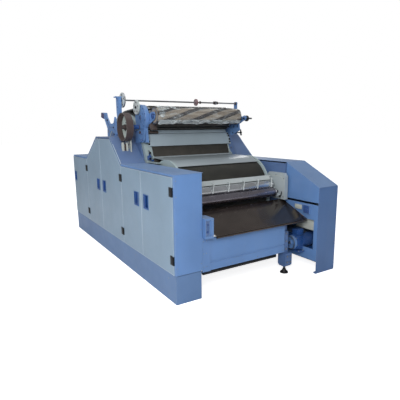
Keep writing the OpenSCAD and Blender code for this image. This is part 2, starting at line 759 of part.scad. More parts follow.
module delivery_pulley() {
    color(steel) {
        rod(490, 610, motor_y, motor_z, 16);
        difference() {
            rod(490, 524, motor_y, motor_z, 72);
            rod(488, 500, motor_y, motor_z, 60);
        }
        rod(489, 501, motor_y, motor_z, 22);
    }
}

// ---- main drive in the left cabinet ----

module main_motor() {
    color(blue) {
        rod(-846, -700, main_y, main_z, 112);
        for (x = [-836 : 20 : -720]) rod(x, x + 5, main_y, main_z, 122);
        difference() {
            rod(-699, -688, main_y, main_z, 124);
            rod(-705, -680, main_y, main_z, 19 + fit);
        }
        box(-846, -690, main_y - 110, main_y + 110, plinth_z + 9, main_z - 123);
        box(-820, -740, main_y - 50, main_y + 50, main_z + 123, main_z + 180);
    }
}

module motor_pulley() {
    color(steel) {
        rod(-699, -622, main_y, main_z, 19);
        rod(-684, -644, main_y, main_z, 70);
    }
}

// flat belts inside the left cabinet
module belts() {
    color(black) {
        belt(-680, -650, [cyl_y, cyl_z], 210, [main_y, main_z], 70);
        crossed_belt(-716, -696, [cyl_y, cyl_z], 175, [lick_y, lick_z], 62);
    }
}

// screw foot under the front leg
module leveling_feet() {
    color(black) {
        translate([389, -1432, 0]) cylinder(h = 14, r1 = 42, r2 = 38);
        translate([389, -1432, 14.2]) cylinder(h = 30, r1 = 30, r2 = 14);
        translate([389, -1432, 44.4]) cylinder(h = 37, r = 12);
    }
}

// ---- rollers ----

// clothed roller: closed drum between two stub shafts
module roller(y, z, r, shell, shaft, x0, x1) {
    difference() {
        rod(-work_x, work_x, y, z, r);
        rod(-work_x + 22, work_x - 22, y, z, r - shell);
    }
    rod(x0, -work_x - 0.2, y, z, shaft);
    rod(work_x + 0.2, x1, y, z, shaft);
}

module main_cylinder() {
    color(wire) {
        roller(cyl_y, cyl_z, cyl_r, 14, 55, -647.8, 660);
        difference() {
            rod(-682, -648, cyl_y, cyl_z, 210);
            difference() {
                rod(-684, -670, cyl_y, cyl_z, 192);
                rod(-684, -670, cyl_y, cyl_z, 55);
            }
        }
        rod(-693.8, -682.2, cyl_y, cyl_z, 55);
        rod(-718, -694, cyl_y, cyl_z, 175);
        rod(-740, -718.2, cyl_y, cyl_z, 55);
    }
}

module doffer() {
    color(wire) {
        roller(dof_y, dof_z, dof_r, 10, 40, -640, 659.8);
        rod(660, 690, dof_y, dof_z, 190);
        rod(690.2, 720, dof_y, dof_z, 40);
    }
}

module licker_in() {
    color(wire) {
        rod(-work_x, work_x, lick_y, lick_z, lick_r);
        rod(-730, 640, lick_y, lick_z, 30);
        rod(-718, -694, lick_y, lick_z, 62);
    }
}

module stripping_roller() {
    color(steel) {
        rod(-work_x, work_x, strip_y, strip_z, strip_r);
        rod(-626, 640, strip_y, strip_z, 16);
    }
}

module web_roller() {
    color(steel) {
        rod(-work_x, work_x, web_y, web_z, web_r);
        rod(-626, 640, web_y, web_z, 14);
    }
}

module feed_roller() {
    color(steel) {
        rod(-work_x, work_x, feed_y, feed_z, feed_r);
        rod(-640, 660, feed_y, feed_z, 20);
        rod(640, 656, feed_y, feed_z, 90);
    }
}

// wooden core of the spiral brush, inside its bristles
module brush_roller() {
    color(rust) {
        rod(-540, 540, brush_y, brush_z, brush_r - 10);
        rod(-553, 580, brush_y, brush_z, 14);
    }
}

// wide thin rim, set-back web and dark hub
module drive_wheel() {
    color(brown) {
        difference() {
            rod(-796, -722, wheel_y, wheel_z, wheel_r);
            rod(-798, -732, wheel_y, wheel_z, wheel_r - 10);
            rod(-726, -720, wheel_y, wheel_z, wheel_r - 10);
        }
        rod(-764, -732.5, wheel_y, wheel_z, 30);
        rod(-790, -560, wheel_y, wheel_z, 22);
    }
}

// upper cross shaft with its end disc, a ring and a collar
module top_shaft() {
    color(steel) {
        rod(-745, 886, top_y, top_z, 9);
        rod(-715, -703, top_y, top_z, 81);
        rod(239, 251, top_y, top_z, 40);
        rod(524, 544, top_y, top_z, 22);
    }
}

// light disc that turns on the casing's stub
module side_disc() {
    color(cream) difference() {
        rod(-616, -602, disc_y, disc_z, 77);
        rod(-620, -600, disc_y, disc_z, 12 + fit);
    }
}

// carrier wheels and shafts at both ends of the flats' chain
module flats_carrier_front() {
    color(steel) {
        rod(-600, 575, car_y, car_z, 24);
        for (x = [-540, -10, 520]) rod(x, x + 20, car_y, car_z, car_r - 1);
    }
}

module flats_carrier_rear() {
    color(steel) {
        rod(-596, 596, rcar_y, rcar_z, 18);
        for (x = [-540, -10, 520]) rod(x, x + 20, rcar_y, rcar_z, rear_r - 2);
    }
}

// long blue hand lever with its hook
module lever() {
    color(blue) {
        plate(-781, -769) polygon([[74, 1390], [104, 1384], [132, 1394], [196, 1440], [300, 1436],
            [352, 1456], [462, 1584], [500, 1584], [566, 1616], [566, 1648], [540, 1660], [376, 1650],
            [357, 1606], [268, 1522], [150, 1524], [124, 1560], [108, 1596], [84, 1592], [74, 1576],
            [66, 1505], [36, 1440], [44, 1408]]);
        rod(-797, -781, 92, 1404, 7);
    }
}

// black knob with its long stem, at the end of the right bracket's arm
module adjust_knob() {
    color(black) {
        rod(540, 660, -552, 1566, 9);
        rod(573, 600, -552, 1566, 30);
    }
}

// wing nut and stud low on the right bracket
module wing_nut() {
    color(black) {
        rod(550, 690, nut_y, nut_z, 8);
        rod(573, 584, nut_y, nut_z, 16);
        rod(668, 686, nut_y, nut_z, 13);
        box(673, 680, nut_y - 6, nut_y + 6, nut_z - 34, nut_z + 34);
    }
}

// lifting cover between the cylinder and the doffer
module doffer_cover() {
    top = dof_z + dof_r + 7;
    color(steel) {
        plate(-511, 511) {
            arc_2d([dof_y, dof_z], dof_r + 7, dof_r + 12, 88, 120, 12);
            polygon([[dof_y - 1, top], [-337, 1145], [-326, 1148], [-326, 1158], [-338, 1160],
                [-342, 1151], [dof_y - 1, top + 5]]);
        }
        rod(-532, 532, -332, 1153, 5);
    }
}

// ---- what is drawn ----

side_frames();
cross_rails();
cabinet_left();
cabinet_right();
hoods();
front_panel_left();
front_panel_right();
plinths();
hinges();
bends();
flats();
front_plates();
casings();
guard_bar();
web_tray();
tray_bracket();
apron_panel();
bottom_pipe();
feed_table();
flats_casing();
top_brackets();
wheel_post();
gear_cover();
delivery_motor();
main_motor();
belts();
leveling_feet();
main_cylinder();
doffer();
licker_in();
stripping_roller();
web_roller();
feed_roller();
brush_roller();
drive_wheel();
top_shaft();
side_disc();
flats_carrier_front();
flats_carrier_rear();
motor_pulley();
delivery_pulley();
lever();
adjust_knob();
wing_nut();
doffer_cover();
door_l1();
door_l2();
door_l3();
door_l4();
door_l5();
pull_l1();
pull_l2();
pull_l3();
pull_l4();
pull_l5();
door_r1();
door_r2();
door_r3();
door_r4();
door_r5();
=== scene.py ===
import json
from math import acos, atan2, cos, exp, pi, radians, sin

import bmesh
import bpy
from mathutils import Matrix, Vector

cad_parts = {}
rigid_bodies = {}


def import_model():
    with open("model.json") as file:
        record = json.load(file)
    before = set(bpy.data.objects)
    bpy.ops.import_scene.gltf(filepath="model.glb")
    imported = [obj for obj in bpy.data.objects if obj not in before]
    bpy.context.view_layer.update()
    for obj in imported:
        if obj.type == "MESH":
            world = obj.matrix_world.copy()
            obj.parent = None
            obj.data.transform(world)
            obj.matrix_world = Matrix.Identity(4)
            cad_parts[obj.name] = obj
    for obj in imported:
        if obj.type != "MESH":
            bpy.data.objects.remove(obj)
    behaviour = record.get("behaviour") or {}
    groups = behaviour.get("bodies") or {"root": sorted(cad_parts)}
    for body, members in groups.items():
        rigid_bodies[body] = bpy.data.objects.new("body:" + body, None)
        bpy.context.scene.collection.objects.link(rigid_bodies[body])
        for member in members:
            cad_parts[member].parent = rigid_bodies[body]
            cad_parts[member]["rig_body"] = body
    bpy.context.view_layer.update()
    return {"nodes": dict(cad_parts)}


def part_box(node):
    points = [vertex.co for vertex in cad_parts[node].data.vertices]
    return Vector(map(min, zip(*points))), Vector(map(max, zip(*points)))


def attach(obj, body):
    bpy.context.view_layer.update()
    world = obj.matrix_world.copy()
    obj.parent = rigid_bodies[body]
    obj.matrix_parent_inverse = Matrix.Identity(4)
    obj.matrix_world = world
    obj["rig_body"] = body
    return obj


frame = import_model()
nodes = frame["nodes"]

ROOT = "frame"
LEFT, RIGHT, NEAR, UP = (-1, 0, 0), (1, 0, 0), (0, -1, 0), (0, 0, 1)
TAG = {-1: "l", 1: "r"}


# ---------- materials ----------

def lin(r, g, b):
    """sRGB 0-255 to the linear colour a shader takes."""
    out = []
    for v in (r, g, b):
        v /= 255.0
        out.append(v / 12.92 if v <= 0.04045 else ((v + 0.055) / 1.055) ** 2.4)
    return (*out, 1.0)


def tone(c, k, lift=0.0):
    """Colour c made darker or lighter by k, then lifted."""
    return tuple(min(1, v * k + lift) for v in c[:3]) + (1,)


class Mat:
    """A small builder round one Principled material, all in object coordinates (metres)."""

    def __init__(self, name, rough=0.5, metal=0.0, spec=0.5, coat=0.0):
        self.m = bpy.data.materials.new(name)
        self.m.use_nodes = True
        self.t = self.m.node_tree
        self.t.nodes.clear()
        self.p = self.node("BsdfPrincipled", Roughness=rough, Metallic=metal, Specular_IOR_Level=spec, Coat_Weight=coat)
        self.link(self.p, "BSDF", self.node("OutputMaterial"), "Surface")
        self.co = self.node("TexCoord")
        self.height = None

    def node(self, kind, **values):
        """New shader node with its sockets set; an underscore in a key stands for a space."""
        n = self.t.nodes.new("ShaderNode" + kind)
        for key, v in values.items():
            n.inputs[key.replace("_", " ")].default_value = v
        return n

    def link(self, a, ao, b, bi):
        self.t.links.new(a.outputs[ao], b.inputs[bi])

    def textured(self, kind, stretch, **values):
        """Texture node on stretched object coordinates."""
        n, place = self.node(kind, **values), self.node("Mapping", Scale=stretch)
        self.link(self.co, "Object", place, "Vector")
        self.link(place, "Vector", n, "Vector")
        return n

    def noise(self, scale, detail=4, rough=0.55, stretch=(1, 1, 1), distort=0.0):
        return self.textured("TexNoise", stretch, Scale=scale, Detail=detail, Roughness=rough, Distortion=distort)

    def wave(self, scale, axis="X", distort=0.0, detail=1.0):
        n = self.textured("TexWave", (1, 1, 1), Scale=scale, Distortion=distort, Detail=detail)
        n.wave_type = "BANDS"
        n.bands_direction = axis
        return n

    def ramp(self, src, stops, out="Fac"):
        r = self.node("ValToRGB")
        while len(r.color_ramp.elements) < len(stops):
            r.color_ramp.elements.new(0.5)
        for e, (pos, col) in zip(r.color_ramp.elements, stops):
            e.position = pos
            e.color = col if isinstance(col, tuple) else (col, col, col, 1)
        self.link(src, out, r, "Fac")
        return r

    def shown(self, n):
        """Colour output of a node; a Mix node has it third."""
        return n.outputs[2 if n.bl_idname == "ShaderNodeMix" else "Color"]

    def mix(self, a, tint, fac):
        """Node a's colour blended towards a plain tint."""
        m = self.node("Mix")
        m.data_type = "RGBA"
        self.t.links.new(self.shown(a), m.inputs[6])
        m.inputs[7].default_value = tint
        self.t.links.new(fac.outputs[0], m.inputs[0])
        return m

    def times(self, a, b):
        k = self.node("Math")
        k.operation = "MULTIPLY"
        self.link(a, "Color", k, 0)
        self.link(b, "Color", k, 1)
        return k

    def colour(self, n):
        self.t.links.new(self.shown(n), self.p.inputs["Base Color"])

    def rough(self, src, lo, hi):
        r = self.node("MapRange", To_Min=lo, To_Max=hi)
        self.link(src, 0, r, "Value")
        self.link(r, "Result", self.p, "Roughness")

    def bump(self, src, strength, dist):
        b = self.node("Bump", Strength=strength, Distance=dist)
        self.link(src, 0, b, "Height")
        if self.height is not None:
            self.link(self.height, "Normal", b, "Normal")
        self.height = b
        self.link(b, "Normal", self.p, "Normal")

    def dust_and_painted_top_light(self, base, tint, amount):
        """Faces that look up blended towards a pale grey, thinner in patches: partly grime lying on them, partly
        painted light falling from above.
        """
        up = self.node("SeparateXYZ")
        self.link(self.node("NewGeometry"), "Normal", up, "Vector")
        face = self.ramp(up, [(0.55, 0.0), (0.95, 1.0)], "Z")
        cloud = self.ramp(self.noise(5, 5, 0.65), [(0.30, amount * 0.55), (0.70, amount)])
        return self.mix(base, tint, self.times(face, cloud))

    def wear(self, base, tint):
        """Edge wear: where a rounded normal leaves the face's own, broken up by noise."""
        rounded = self.node("Bevel", Radius=0.004)
        rounded.samples = 4
        same = self.node("VectorMath")
        same.operation = "DOT_PRODUCT"
        self.link(self.node("NewGeometry"), "True Normal", same, 0)
        self.link(rounded, "Normal", same, 1)
        bent = self.node("Math")
        bent.operation = "SUBTRACT"
        bent.inputs[0].default_value = 1.0
        self.link(same, "Value", bent, 1)
        edge = self.ramp(bent, [(0.04, 0.0), (0.30, 0.8)], "Value")
        chips = self.ramp(self.noise(30, 5, 0.7), [(0.35, 0.15), (0.65, 1.0)])
        return self.mix(base, tint, self.times(edge, chips))


def paint(name, rgb, shade=0.88, light=1.07, rough=0.42, peel=0.25, streak=0.5, coat=0.15, top_dust_and_light=0.0):
    """Sprayed machine enamel: slow mottling, faint vertical grime streaks, paler upward faces as grime and painted top
    light, orange peel, worn edges.
    """
    m = Mat(name, rough=rough, coat=coat)
    m.p.inputs["Coat Roughness"].default_value = 0.22
    c = lin(*rgb)
    slow = m.ramp(m.noise(2.2, 3, 0.5), [(0.30, tone(c, shade)), (0.55, c), (0.75, tone(c, light))])
    runs = m.ramp(m.noise(9, 5, 0.6, (1, 1, 0.12)), [(0.48, 0.0), (0.80, streak)])
    dusted_and_top_lit = m.mix(slow, tone(c, 0.85, 0.05), runs)
    # upward faces made paler: partly grime, partly painted light from above
    if top_dust_and_light:
        dusted_and_top_lit = m.dust_and_painted_top_light(dusted_and_top_lit, lin(168, 176, 180), top_dust_and_light)
    spots = m.ramp(m.noise(160, 2, 0.5), [(0.68, 0.0), (0.76, 0.35)])
    m.colour(m.wear(m.mix(dusted_and_top_lit, tone(c, 0.6), spots), tone(c, 0.6, 0.25)))
    m.rough(m.noise(14, 4), rough - 0.08, rough + 0.12)
    m.bump(m.noise(420, 2, 0.5), peel, 0.0006)
    m.bump(m.noise(3.0, 2, 0.4), 0.25, 0.004)
    return m.m


def steel(name, rgb, rough=0.25, metal=1.0, lines=500, wobble=0.5):
    """Turned or rolled metal: fine lines across X, smudges, a little tarnishing."""
    m = Mat(name, rough=rough, metal=metal)
    c = lin(*rgb)
    smudge = m.ramp(m.noise(6, 5, 0.6), [(0.35, tone(c, 0.72)), (0.62, c)])
    fine = m.wave(lines, "X", wobble, 2)
    m.colour(m.mix(smudge, tone(c, 1.12), m.ramp(fine, [(0.4, 0.0), (0.9, 0.35)])))
    m.rough(m.noise(22, 4, 0.6), max(0.05, rough - 0.08), rough + 0.14)
    m.bump(fine, 0.12, 0.0004)
    return m.m


def clothing(name, rgb, sheen_tint):
    """Saw-tooth wire wound round a roller: close ribs darkened between them as painted shade, a satin glint, patches
    blended towards a lighter tint as tarnishing and painted sheen.
    """
    m = Mat(name, rough=0.48, metal=0.55)
    c = lin(*rgb)
    ribs = m.wave(95, "X", 0.15, 1)
    # darker between the ribs: painted shade in the grooves
    rows = m.ramp(ribs, [(0.25, tone(c, 0.5)), (0.8, c)])
    teeth = m.noise(900, 1, 0.5, (0.35, 1, 1))
    # patches towards a lighter tint: tarnishing and painted sheen
    tarnish_and_sheen = m.ramp(m.noise(5, 5, 0.6, (0.5, 1, 1)), [(0.42, 0.0), (0.75, 0.6)])
    m.colour(m.mix(rows, lin(*sheen_tint), tarnish_and_sheen))
    m.rough(m.noise(30, 3), 0.38, 0.62)
    m.bump(ribs, 0.5, 0.0012)
    m.bump(teeth, 0.35, 0.0008)
    return m.m


def plastic(name, rgb, rough=0.45, grain=600, spec=0.5):
    """Moulded plastic or thick enamel with a fine grain."""
    m = Mat(name, rough=rough, spec=spec)
    c = lin(*rgb)
    m.colour(m.ramp(m.noise(12, 4), [(0.3, tone(c, 0.8)), (0.7, tone(c, 1.15, 0.004))]))
    m.rough(m.noise(60, 3), rough - 0.08, rough + 0.1)
    m.bump(m.noise(grain, 2), 0.2, 0.0003)
    return m.m


def flats_mat():
    """Cast flats: darkened aluminium ribs with fluff caught between them."""
    m = Mat("flats_aluminium", rough=0.45, metal=0.75)
    base = m.ramp(m.noise(8, 5, 0.6), [(0.35, lin(52, 52, 52)), (0.7, lin(98, 98, 96))])
    fluff = m.ramp(m.noise(70, 6, 0.7), [(0.60, 0.0), (0.78, 0.55)])
    m.colour(m.mix(base, lin(150, 148, 140), fluff))
    m.rough(m.noise(40, 3), 0.35, 0.65)
    m.bump(m.noise(300, 3), 0.3, 0.0008)
    return m.m


def film_mat(name, lo, mid, hi):
    """Thin clear wrapping film: almost all transparent, its wrinkles painted pale and more opaque as highlights."""
    m = Mat(name, rough=0.14)
    m.p.inputs["IOR"].default_value = 1.45
    # wrinkle ridges painted pale and more opaque: painted highlights on the film
    crease_highlight = m.noise(11, 6, 0.65, (0.7, 2.6, 2.6), 0.9)
    m.colour(m.ramp(crease_highlight, [(0.4, lin(176, 190, 196)), (0.7, lin(238, 244, 244))]))
    m.link(m.ramp(crease_highlight, [(0.48, lo), (0.60, mid), (0.74, hi)]), "Color", m.p, "Alpha")
    m.bump(m.noise(22, 5, 0.6, (1, 2, 2), 1.2), 0.8, 0.006)
    return m.m


def brush_mat():
    """Varnished wooden core between the bristle strips."""
    m = Mat("brush_core_wood", rough=0.35, coat=0.3)
    rings = m.noise(7, 6, 0.6, (0.35, 3, 3), 0.6)
    m.colour(m.ramp(rings, [(0.30, lin(112, 98, 84)), (0.5, lin(148, 136, 120)), (0.72, lin(178, 170, 158))]))
    m.rough(m.noise(18, 3), 0.25, 0.5)
    m.bump(rings, 0.2, 0.001)
    return m.m


def bristle_mat():
    m = Mat("bristles", rough=0.8)
    fine = m.noise(420, 3, 0.6)
    m.colour(m.ramp(fine, [(0.35, lin(34, 30, 30)), (0.7, lin(78, 66, 62))]))
    m.bump(fine, 0.9, 0.002)
    return m.m


BLUE = paint("enamel_blue", (98, 136, 189), top_dust_and_light=0.30)
# The blue enamel darkened for the right front panel: painted shade where the light falls off to the right.
BLUE_PAINTED_SHADE = paint("enamel_blue_painted_shade", (78, 112, 162), top_dust_and_light=0.3)
BLUE_SIDE = paint("enamel_blue_plinth", (94, 126, 170), streak=0.6)
BLUE_DEEP = paint("enamel_blue_deep", (78, 108, 156))
BLUE_HOOD = paint("enamel_blue_hood", (86, 112, 156), top_dust_and_light=0.15)
BLUE_MOTOR = paint("enamel_motor", (40, 84, 150), rough=0.35, coat=0.3)
DARK_BLUE = paint("bracket_dark_blue", (44, 80, 140), rough=0.35, coat=0.25, streak=0.3)
DOOR = paint("door_grey_blue", (134, 158, 179), shade=0.91, light=1.06, rough=0.38, peel=0.4, streak=0.3, coat=0.25)
# Pale paint for the folds along door rims and hood seams: a painted edge highlight.
EDGE_HIGHLIGHT = paint("painted_edge_highlight", (168, 186, 202), rough=0.35, streak=0.2)
CREAM = paint("enamel_cream", (188, 192, 184), streak=0.4)
GEAR = paint("enamel_cream_cover", (166, 176, 180), streak=0.4)
ARCH = paint("arch_cream", (160, 176, 178), shade=0.80, streak=0.7)
PLATE = paint("plate_grey", (162, 177, 186), rough=0.34, coat=0.2, streak=0.3)
COVER = paint("cover_grey", (152, 162, 167), rough=0.32, coat=0.3, streak=0.3)
WHITE = paint("white_trim", (190, 197, 197), streak=0.2)
RIM = paint("wheel_brown", (70, 57, 56), rough=0.5, streak=0.4, coat=0.05)
DISC = paint("disc_pale", (178, 190, 186), streak=0.3)
PINK = paint("ring_brown_pink", (150, 112, 116), rough=0.4, streak=0.3)
BROWN = paint("block_dark_brown", (70, 58, 54), rough=0.5, streak=0.3)
BLACK = plastic("black_enamel", (20, 21, 24), rough=0.45, spec=0.3)
RUBBER = plastic("black_rubber", (26, 26, 28), rough=0.7, grain=300)
PULL = plastic("pull_blue", (30, 76, 142), rough=0.4)
PULL_LIGHT = plastic("pull_blue_light", (74, 118, 172), rough=0.42)
PURPLE = plastic("grip_dark_violet", (66, 62, 96), rough=0.42)
STEEL = steel("turned_steel", (182, 184, 188), rough=0.28)
CHROME = steel("chrome_roller", (222, 224, 226), rough=0.14, lines=220)
WEB = steel("web_roller_steel", (150, 144, 152), rough=0.22, lines=200)
TRAY = steel("tray_polished", (104, 94, 88), rough=0.10, metal=0.9, lines=120, wobble=1.5)
ZINC = steel("zinc_fastener", (150, 154, 158), rough=0.36, lines=900)
DARK_STEEL = steel("blackened_fastener", (66, 66, 68), rough=0.40, lines=900)
CYL = clothing("clothing_cylinder", (74, 72, 68), (96, 90, 82))
DOFF = clothing("clothing_doffer", (62, 62, 58), (84, 82, 74))
LICK = clothing("clothing_licker", (90, 86, 80), (110, 100, 88))
FLATS, WOOD, BRISTLE = flats_mat(), brush_mat(), bristle_mat()
FILM = film_mat("clear_film", 0.08, 0.24, 0.60)
HEM = film_mat("film_gathered", 0.35, 0.62, 0.95)
BUNCH = film_mat("film_bunched", 0.30, 0.66, 0.95)

# Looks of the CAD nodes; a pull or a door gets its look from its name.
LOOKS = {name: look for look, names in (
    (BLUE, "cabinet_left cabinet_right front_panel_left tray_bracket apron_panel flats_casing top_brackets "
           "delivery_pulley lever"),
    (BLUE_HOOD, "side_frames hoods"), (BLUE_DEEP, "cross_rails"), (BLUE_PAINTED_SHADE, "front_panel_right"),
    (BLUE_SIDE, "plinths"), (BLUE_MOTOR, "delivery_motor main_motor"), (ARCH, "bends"), (FLATS, "flats"),
    (BLACK, "hinges bottom_pipe leveling_feet adjust_knob wing_nut"), (PLATE, "front_plates"),
    (CREAM, "casings wheel_post"), (GEAR, "gear_cover"), (WHITE, "guard_bar"), (TRAY, "web_tray"),
    (STEEL, "feed_table feed_roller top_shaft flats_carrier_front flats_carrier_rear motor_pulley"),
    (RUBBER, "belts"), (CYL, "main_cylinder"), (DOFF, "doffer"), (LICK, "licker_in"),
    (CHROME, "stripping_roller"), (WEB, "web_roller"), (RIM, "drive_wheel"), (DISC, "side_disc"),
    (COVER, "doffer_cover"), (WOOD, "brush_roller"),
) for name in names.split()}
SHEETS = ("cabinet_left", "cabinet_right", "hoods", "front_panel_left", "front_panel_right", "plinths",
          "apron_panel", "tray_bracket", "gear_cover", "front_plates", "guard_bar", "lever", "hinges",
          "cross_rails", "leveling_feet", "bottom_pipe")
WELD_GAP, EDGE_ROUND = 0.00002, 0.0012
for name, obj in nodes.items():
    obj.data.materials.clear()
    obj.data.materials.append(LOOKS.get(name) or (PULL if name.startswith("pull") else DOOR))
    if name in SHEETS or name.startswith(("door", "pull")):
        obj.modifiers.new("joined_corners", "WELD").merge_threshold = WELD_GAP
        edge = obj.modifiers.new("rounded_edges", "BEVEL")
        edge.width = EDGE_ROUND
        edge.segments = 2
        edge.limit_method = "ANGLE"
        edge.angle_limit = radians(40)


# ---------- mesh building ----------

def add(name, bm, mat, body=ROOT, smooth=40):
    """Turns a bmesh into a piece that rides on a body; edges sharper than smooth degrees stay sharp."""
    bmesh.ops.recalc_face_normals(bm, faces=bm.faces)
    me = bpy.data.meshes.new(name)
    bm.to_mesh(me)
    bm.free()
    me.materials.append(mat)
    o = bpy.data.objects.new(name, me)
    bpy.context.scene.collection.objects.link(o)
    if smooth:
        for p in me.polygons:
            p.use_smooth = True
        for e in sharp_edges(me, radians(smooth)):
            me.edges[e].use_edge_sharp = True
    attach(o, body)
    return o


def sharp_edges(me, limit):
    """Indices of edges whose faces meet at more than the limit."""
    faces = {}
    for p in me.polygons:
        for k in p.edge_keys:
            faces.setdefault(k, []).append(p.normal)
    keys = {e.key: e.index for e in me.edges}
    return [keys[k] for k, n in faces.items() if len(n) == 2 and n[0].angle(n[1], 0) > limit]


def group(name, mat, body, fn, smooth=40):
    """One piece made of everything that fn draws into a bmesh."""
    bm = bmesh.new()
    fn(bm)
    return add(name, bm, mat, body, smooth)


def boxes(name, mat, body, *rows):
    """One piece of rounded boxes, each row being rbox's low corner, high corner, radius and segments."""
    group(name, mat, body, lambda bm: [rbox(bm, *row) for row in rows])


def rings(name, mat, body, *rows):
    """One piece of rings, each row being ring's arguments."""
    group(name, mat, body, lambda bm: [ring(bm, *row) for row in rows])


def fixings(name, mat, body, *sets):
    """One piece of fasteners; a set is screw or bolt, its axis, the points, then its sizes."""
    def heads(bm):
        for make, axis, points, *sizes in sets:
            for p in points:
                make(bm, p, axis, *sizes)
    group(name, mat, body, heads)


def skin(bm, loops, wrap=True, closed=False, caps=False):
    """Quads between loops of vertices; wrap joins a loop's ends, closed the last loop to the first."""
    n = len(loops[0])
    for p, q in zip(loops, loops[1:] + (loops[:1] if closed else [])):
        for i in range(n if wrap else n - 1):
            j = (i + 1) % n
            bm.faces.new((p[i], p[j], q[j], q[i]))
    if caps:
        bm.faces.new(loops[0])
        bm.faces.new(loops[-1])


def polar(y, z, r, a):
    return y + r * cos(a), z + r * sin(a)


def turns(bm, prof, y, z, seg):
    """Loops of vertices for (x, r) points turned about a line along X through (y, z)."""
    return [[bm.verts.new((x, *polar(y, z, r, 2 * pi * i / seg))) for i in range(seg)] for x, r in prof]


def rbox(bm, lo, hi, r=0.002, seg=2, m=None):
    """Box with rounded edges; m places it."""
    lo, hi = Vector(lo), Vector(hi)
    c, s = (lo + hi) / 2, hi - lo
    made = bmesh.ops.create_cube(bm, size=1.0)["verts"]
    for v in made:
        v.co = Vector(v.co[i] * s[i] for i in range(3))
    edges = list({e for v in made for e in v.link_edges})
    done = bmesh.ops.bevel(bm, geom=edges, offset=min(r, min(s) * 0.45), segments=seg, affect="EDGES", profile=0.5)
    seen = {v for f in done["faces"] for v in f.verts} | {v for v in made if v.is_valid}
    stack = list(seen)
    while stack:
        for e in stack.pop().link_edges:
            fresh = [v for v in e.verts if v not in seen]
            seen.update(fresh)
            stack += fresh
    for v in seen:
        v.co = (m @ v.co if m else v.co) + c


def stood(bm, p, axis, prof, n, phase=0.0):
    """Skinned loops of n points for (r, height) pairs, standing on p along axis; returns the last loop."""
    rot = Vector(UP).rotation_difference(Vector(axis).normalized()).to_matrix().to_4x4()
    place = Matrix.Translation(Vector(p)) @ rot
    angles = [2 * pi * k / n + phase for k in range(n)]
    loops = [[bm.verts.new(place @ Vector((*polar(0, 0, r, a), h))) for a in angles] for r, h in prof]
    skin(bm, loops)
    return loops[-1]


def bolt(bm, p, axis, r=0.008, h=0.006, washer=True):
    """Hex head with a chamfered top, on a washer, at p and pointing along axis."""
    lift = h * 0.2 if washer else 0
    if washer:
        stood(bm, p, axis, [(r * 1.35, 0.0), (r * 1.35, h * 0.22), (r, h * 0.25)], 16)
    bm.faces.new(stood(bm, p, axis, [(r, lift), (r, h * 0.75 + lift), (r * 0.86, h + lift), (0.001, h + lift)], 6, 0.2))


def screw(bm, p, axis, r=0.005, h=0.0022):
    """Round-head screw with a sunk centre."""
    prof = [(r, 0), (r * 0.95, h * 0.5), (r * 0.7, h * 0.9), (r * 0.34, h), (r * 0.26, h * 0.4), (0.0004, h * 0.3)]
    bm.faces.new(stood(bm, p, axis, prof, 12))


def tilt(p, q):
    """Turn about X that lays local +Y along the line from p to q, as (y, z) pairs."""
    return Matrix.Rotation(atan2(q[1] - p[1], q[0] - p[0]), 4, "X")


def strip(bm, x0, x1, p, q, t, r=0.001, lift=0.0):
    """Flat bar between x0 and x1 along the line p-q, t thick, raised by lift off the line."""
    p, q = Vector(p), Vector(q)
    d = (q - p).normalized()
    c = (p + q) / 2 + Vector((-d.y, d.x)) * (lift + t / 2)
    half = Vector(((x1 - x0) / 2, (q - p).length / 2, t / 2))
    rbox(bm, -half, half, r, 2, Matrix.Translation(((x0 + x1) / 2, c.x, c.y)) @ tilt(p, q))


def prism(bm, x0, x1, pts, r):
    """Closed outline of (y, z) points extruded along X, with a chamfer on both faces."""
    if sum(a[0] * b[1] - b[0] * a[1] for a, b in zip(pts, pts[1:] + pts[:1])) < 0:
        pts = pts[::-1]
    a, b = ([bm.verts.new((x, *p)) for p in pts] for x in (x0, x1))
    bm.faces.new(a[::-1])
    bm.faces.new(b)
    side = [bm.faces.new((a[i], a[(i + 1) % len(a)], b[(i + 1) % len(a)], b[i])) for i in range(len(a))]
    edges = list({e for f in side for e in f.edges})
    bmesh.ops.bevel(bm, geom=edges, offset=r, segments=2, affect="EDGES", profile=0.5)


def arc_band(bm, x0, x1, c, r0, r1, a0, a1, n):
    """Curved plate about a line along X, angles in degrees from +Y."""
    angles = [radians(a0 + (a1 - a0) * i / n) for i in range(n + 1)]
    skin(bm, [[bm.verts.new((x, *polar(*c, r, a))) for x, r in ((x0, r0), (x1, r0), (x1, r1), (x0, r1))]
              for a in angles], caps=True)


def ring(bm, x0, x1, y, z, r0, r1, seg=48, edge=0.0015):
    """Annulus with eased rims, both faces closed."""
    e = edge
    prof = [(x0 + e, r0), (x0, r0 + e), (x0, r1 - e), (x0 + e, r1),
            (x1 - e, r1), (x1, r1 - e), (x1, r0 + e), (x1 - e, r0)]
    skin(bm, turns(bm, prof, y, z, seg), closed=True)


def tube(bm, pts, r, seg=10):
    """Round bar through 3-D points, closed at both ends."""
    pts = [Vector(p) for p in pts]
    angles = [2 * pi * k / seg for k in range(seg)]
    loops, ref = [], None
    for i, p in enumerate(pts):
        d = (pts[min(i + 1, len(pts) - 1)] - pts[max(i - 1, 0)]).normalized()
        ref = (ref - d * ref.dot(d)).normalized() if loops else d.orthogonal().normalized()
        v = d.cross(ref)
        loops.append([bm.verts.new(p + r * (cos(a) * ref + sin(a) * v)) for a in angles])
    skin(bm, loops, caps=True)


def thread(bm, x, length, y, z, r, t, steps):
    """Fine helix along X, as a screw thread."""
    tube(bm, [(x + length * i / steps, *polar(y, z, r, i * 0.5)) for i in range(steps + 1)], t, 5)


# ---------- where things are, in metres ----------

def mid(node):
    """Middle of a node's box."""
    lo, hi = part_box(node)
    return [(a + b) / 2 for a, b in zip(lo, hi)]


def body_of(node):
    """Name of the body that a CAD node rides on."""
    return nodes[node]["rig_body"]


